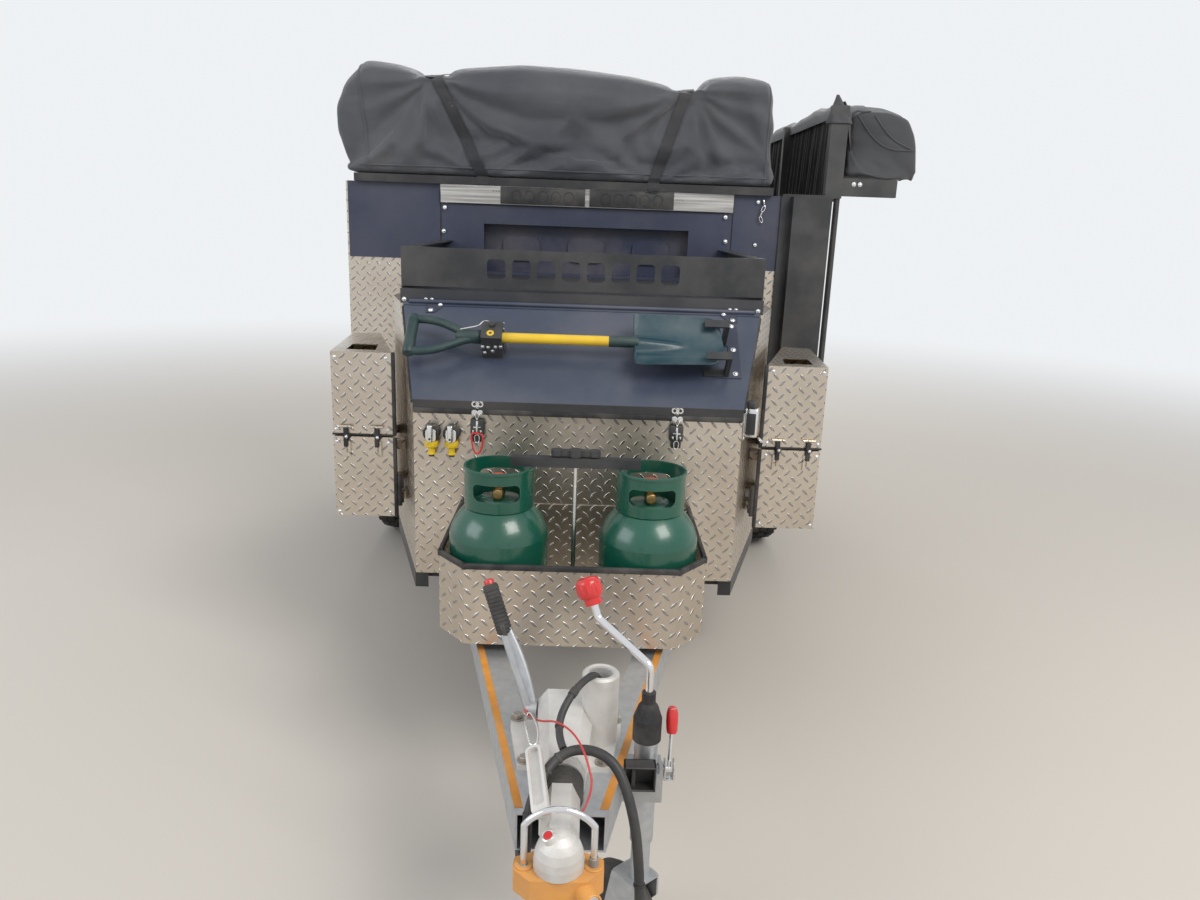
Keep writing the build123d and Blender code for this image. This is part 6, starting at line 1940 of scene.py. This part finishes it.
def door_seal(shape, place, width, height):
    """A rubber edge laid inside a door's outline, with screws along its top and foot."""
    x, y = width / 2, height / 2
    for low, high in (
        ((-x, -y), (x, seal_width - y)), ((-x, y - seal_width), (x, y)),
        ((-x, seal_width - y), (seal_width - x, y - seal_width)),
        ((x - seal_width, seal_width - y), (x, y - seal_width)),
    ):
        block(shape, (*low, -0.0004), (*high, 0.0034), 0.0014, place, 0, 1)
    across = max(3, round(width / 0.24))
    for step in range(across):
        for rise in (0.024 - y, y - 0.024):
            screw(shape, place @ shift(0.03 - x + (width - 0.06) * step / (across - 1), rise, 0), 0.0036, 1)


doors = {
    "hatch_left": (
        basis((0.945, 3.26, 0.76), (1, 0, 0), (0, 1, 0)), 1.66, 0.64, ((-0.55, -0.255), (0.55, -0.255)),
    ),
    "side_door_right": (
        basis((-0.945, 2.85, 0.76), (-1, 0, 0), (0, -1, 0)), 0.88, 0.64, ((-0.36, -0.05),),
    ),
    "rear_door": (
        basis((0, 4.2, 0.575), (0, 1, 0), (-1, 0, 0)), 1.38, 1.01, ((-0.615, 0.05), (-0.615, -0.3)),
    ),
}
for body, (place, width, height, latches) in doors.items():
    shape = bmesh.new()
    door_seal(shape, place, width, height)
    for x, y in latches:
        paddle(shape, place @ shift(x, y, 0.0006))
    new_piece(body + "_fittings", shape, [rubber, bright_zinc, paddle_black], body)

# %% [markdown]
# The tail lamps' red body comes from the CAD. An amber and a clear lens stand proud of it, ribbed as such
# lenses are, inside a black rim. Plain coloured patches would look painted on.

# %% Lamp lenses
amber_lens = finish("amber_lens", (0.62, 0.19, 0.012), (0.7, 0.24, 0.015), 0.14, dust=(10, 0.08), coat=0.6)
clear_lens = finish("clear_lens", (0.66, 0.66, 0.66), (0.58, 0.58, 0.58), 0.12, dust=(10, 0.08), coat=0.6)
shape = bmesh.new()
for sign in (-1, 1):
    low_x, high_x = sorted((sign * 0.824, sign * 0.916))
    for slot, low_z, high_z in ((1, 0.304, 0.342), (2, 0.398, 0.436)):
        block(shape, (low_x, 4.227, low_z), (high_x, 4.231, high_z), 0.002, slot=slot)
        for x in (low_x + 0.012 + rib * 0.017 for rib in range(5)):
            low, high = (x - 0.0008, 4.2305, low_z + 0.003), (x + 0.0008, 4.2318, high_z - 0.003)
            block(shape, low, high, 0.0003, None, slot, 1)
    for z in (0.2995, 0.4405):
        block(shape, (low_x - 0.006, 4.2005, z - 0.0035), (high_x + 0.006, 4.23, z + 0.0035), 0.0015)
    for x in (low_x - 0.004, high_x + 0.004):
        block(shape, (x - 0.0035, 4.2005, 0.297), (x + 0.0035, 4.23, 0.443), 0.0015)
    screw(shape, basis(((low_x + high_x) / 2, 4.228, 0.37), (0, 1, 0)), 0.0034, 3)
new_piece("lamp_lenses", shape, [black_plastic, amber_lens, clear_lens, bright_zinc])

# %% [markdown]
# Gusset plates close the rack's front corners, screws run down the wall's column, and a short chain hangs
# beside the recess. Each link is turned a quarter from the last, so every second one shows its edge.

# %% Rack corners, column screws and chain
shape = bmesh.new()
rack_front, rack_top = 1.5365, 0.944
hole = [(0.0, 0.0), (0.0105, 0.0), (0.0105, 0.001), (0.0085, 0.0014), (0, 0.0014)]
for sign, edge_x in ((-1, -0.569), (1, 0.564)):
    outline = [(edge_x, rack_front), (edge_x - sign * 0.118, rack_front), (edge_x, 1.64)]
    plate(shape, outline, 0.0032, shift(0, 0, rack_top))
    turned(shape, hole, shift(edge_x - sign * 0.036, 1.568, 0.9472), 1, 20)
front_screws(shape, [(0.672, 2.3178, z) for z in (1.135, 0.971, 0.794, 0.62, 0.47)], 0.0046, 2)
front_screws(shape, [(x, 2.3296, 1.2155) for x in (1.044, 1.068)], 0.0058, 2)
chain = [
    (0.69, 2.315, 1.15), (0.697, 2.312, 1.12), (0.688, 2.311, 1.1), (0.682, 2.311, 1.078),
    (0.69, 2.312, 1.06),
]
link_half, link_side = 0.0135, 0.0055
link_outline = ((-1, 0), (-0.6, 1), (0.6, 1), (1, 0), (0.6, -1), (-0.6, -1))
for link, (start, end) in enumerate(zip(chain, chain[1:])):
    middle = (Vector(start) + Vector(end)) / 2
    along = (Vector(end) - Vector(start)).normalized()
    side = Vector((0, 1, 0)).cross(along) if link % 2 else Vector((0, 1, 0))
    loop = [middle + along * a * link_half + side * b * link_side for a, b in link_outline]
    wire(shape, loop, 0.0019, 2, True, rings=3)
new_piece("rack_corners", shape, [black_frame, rubber, bright_zinc])
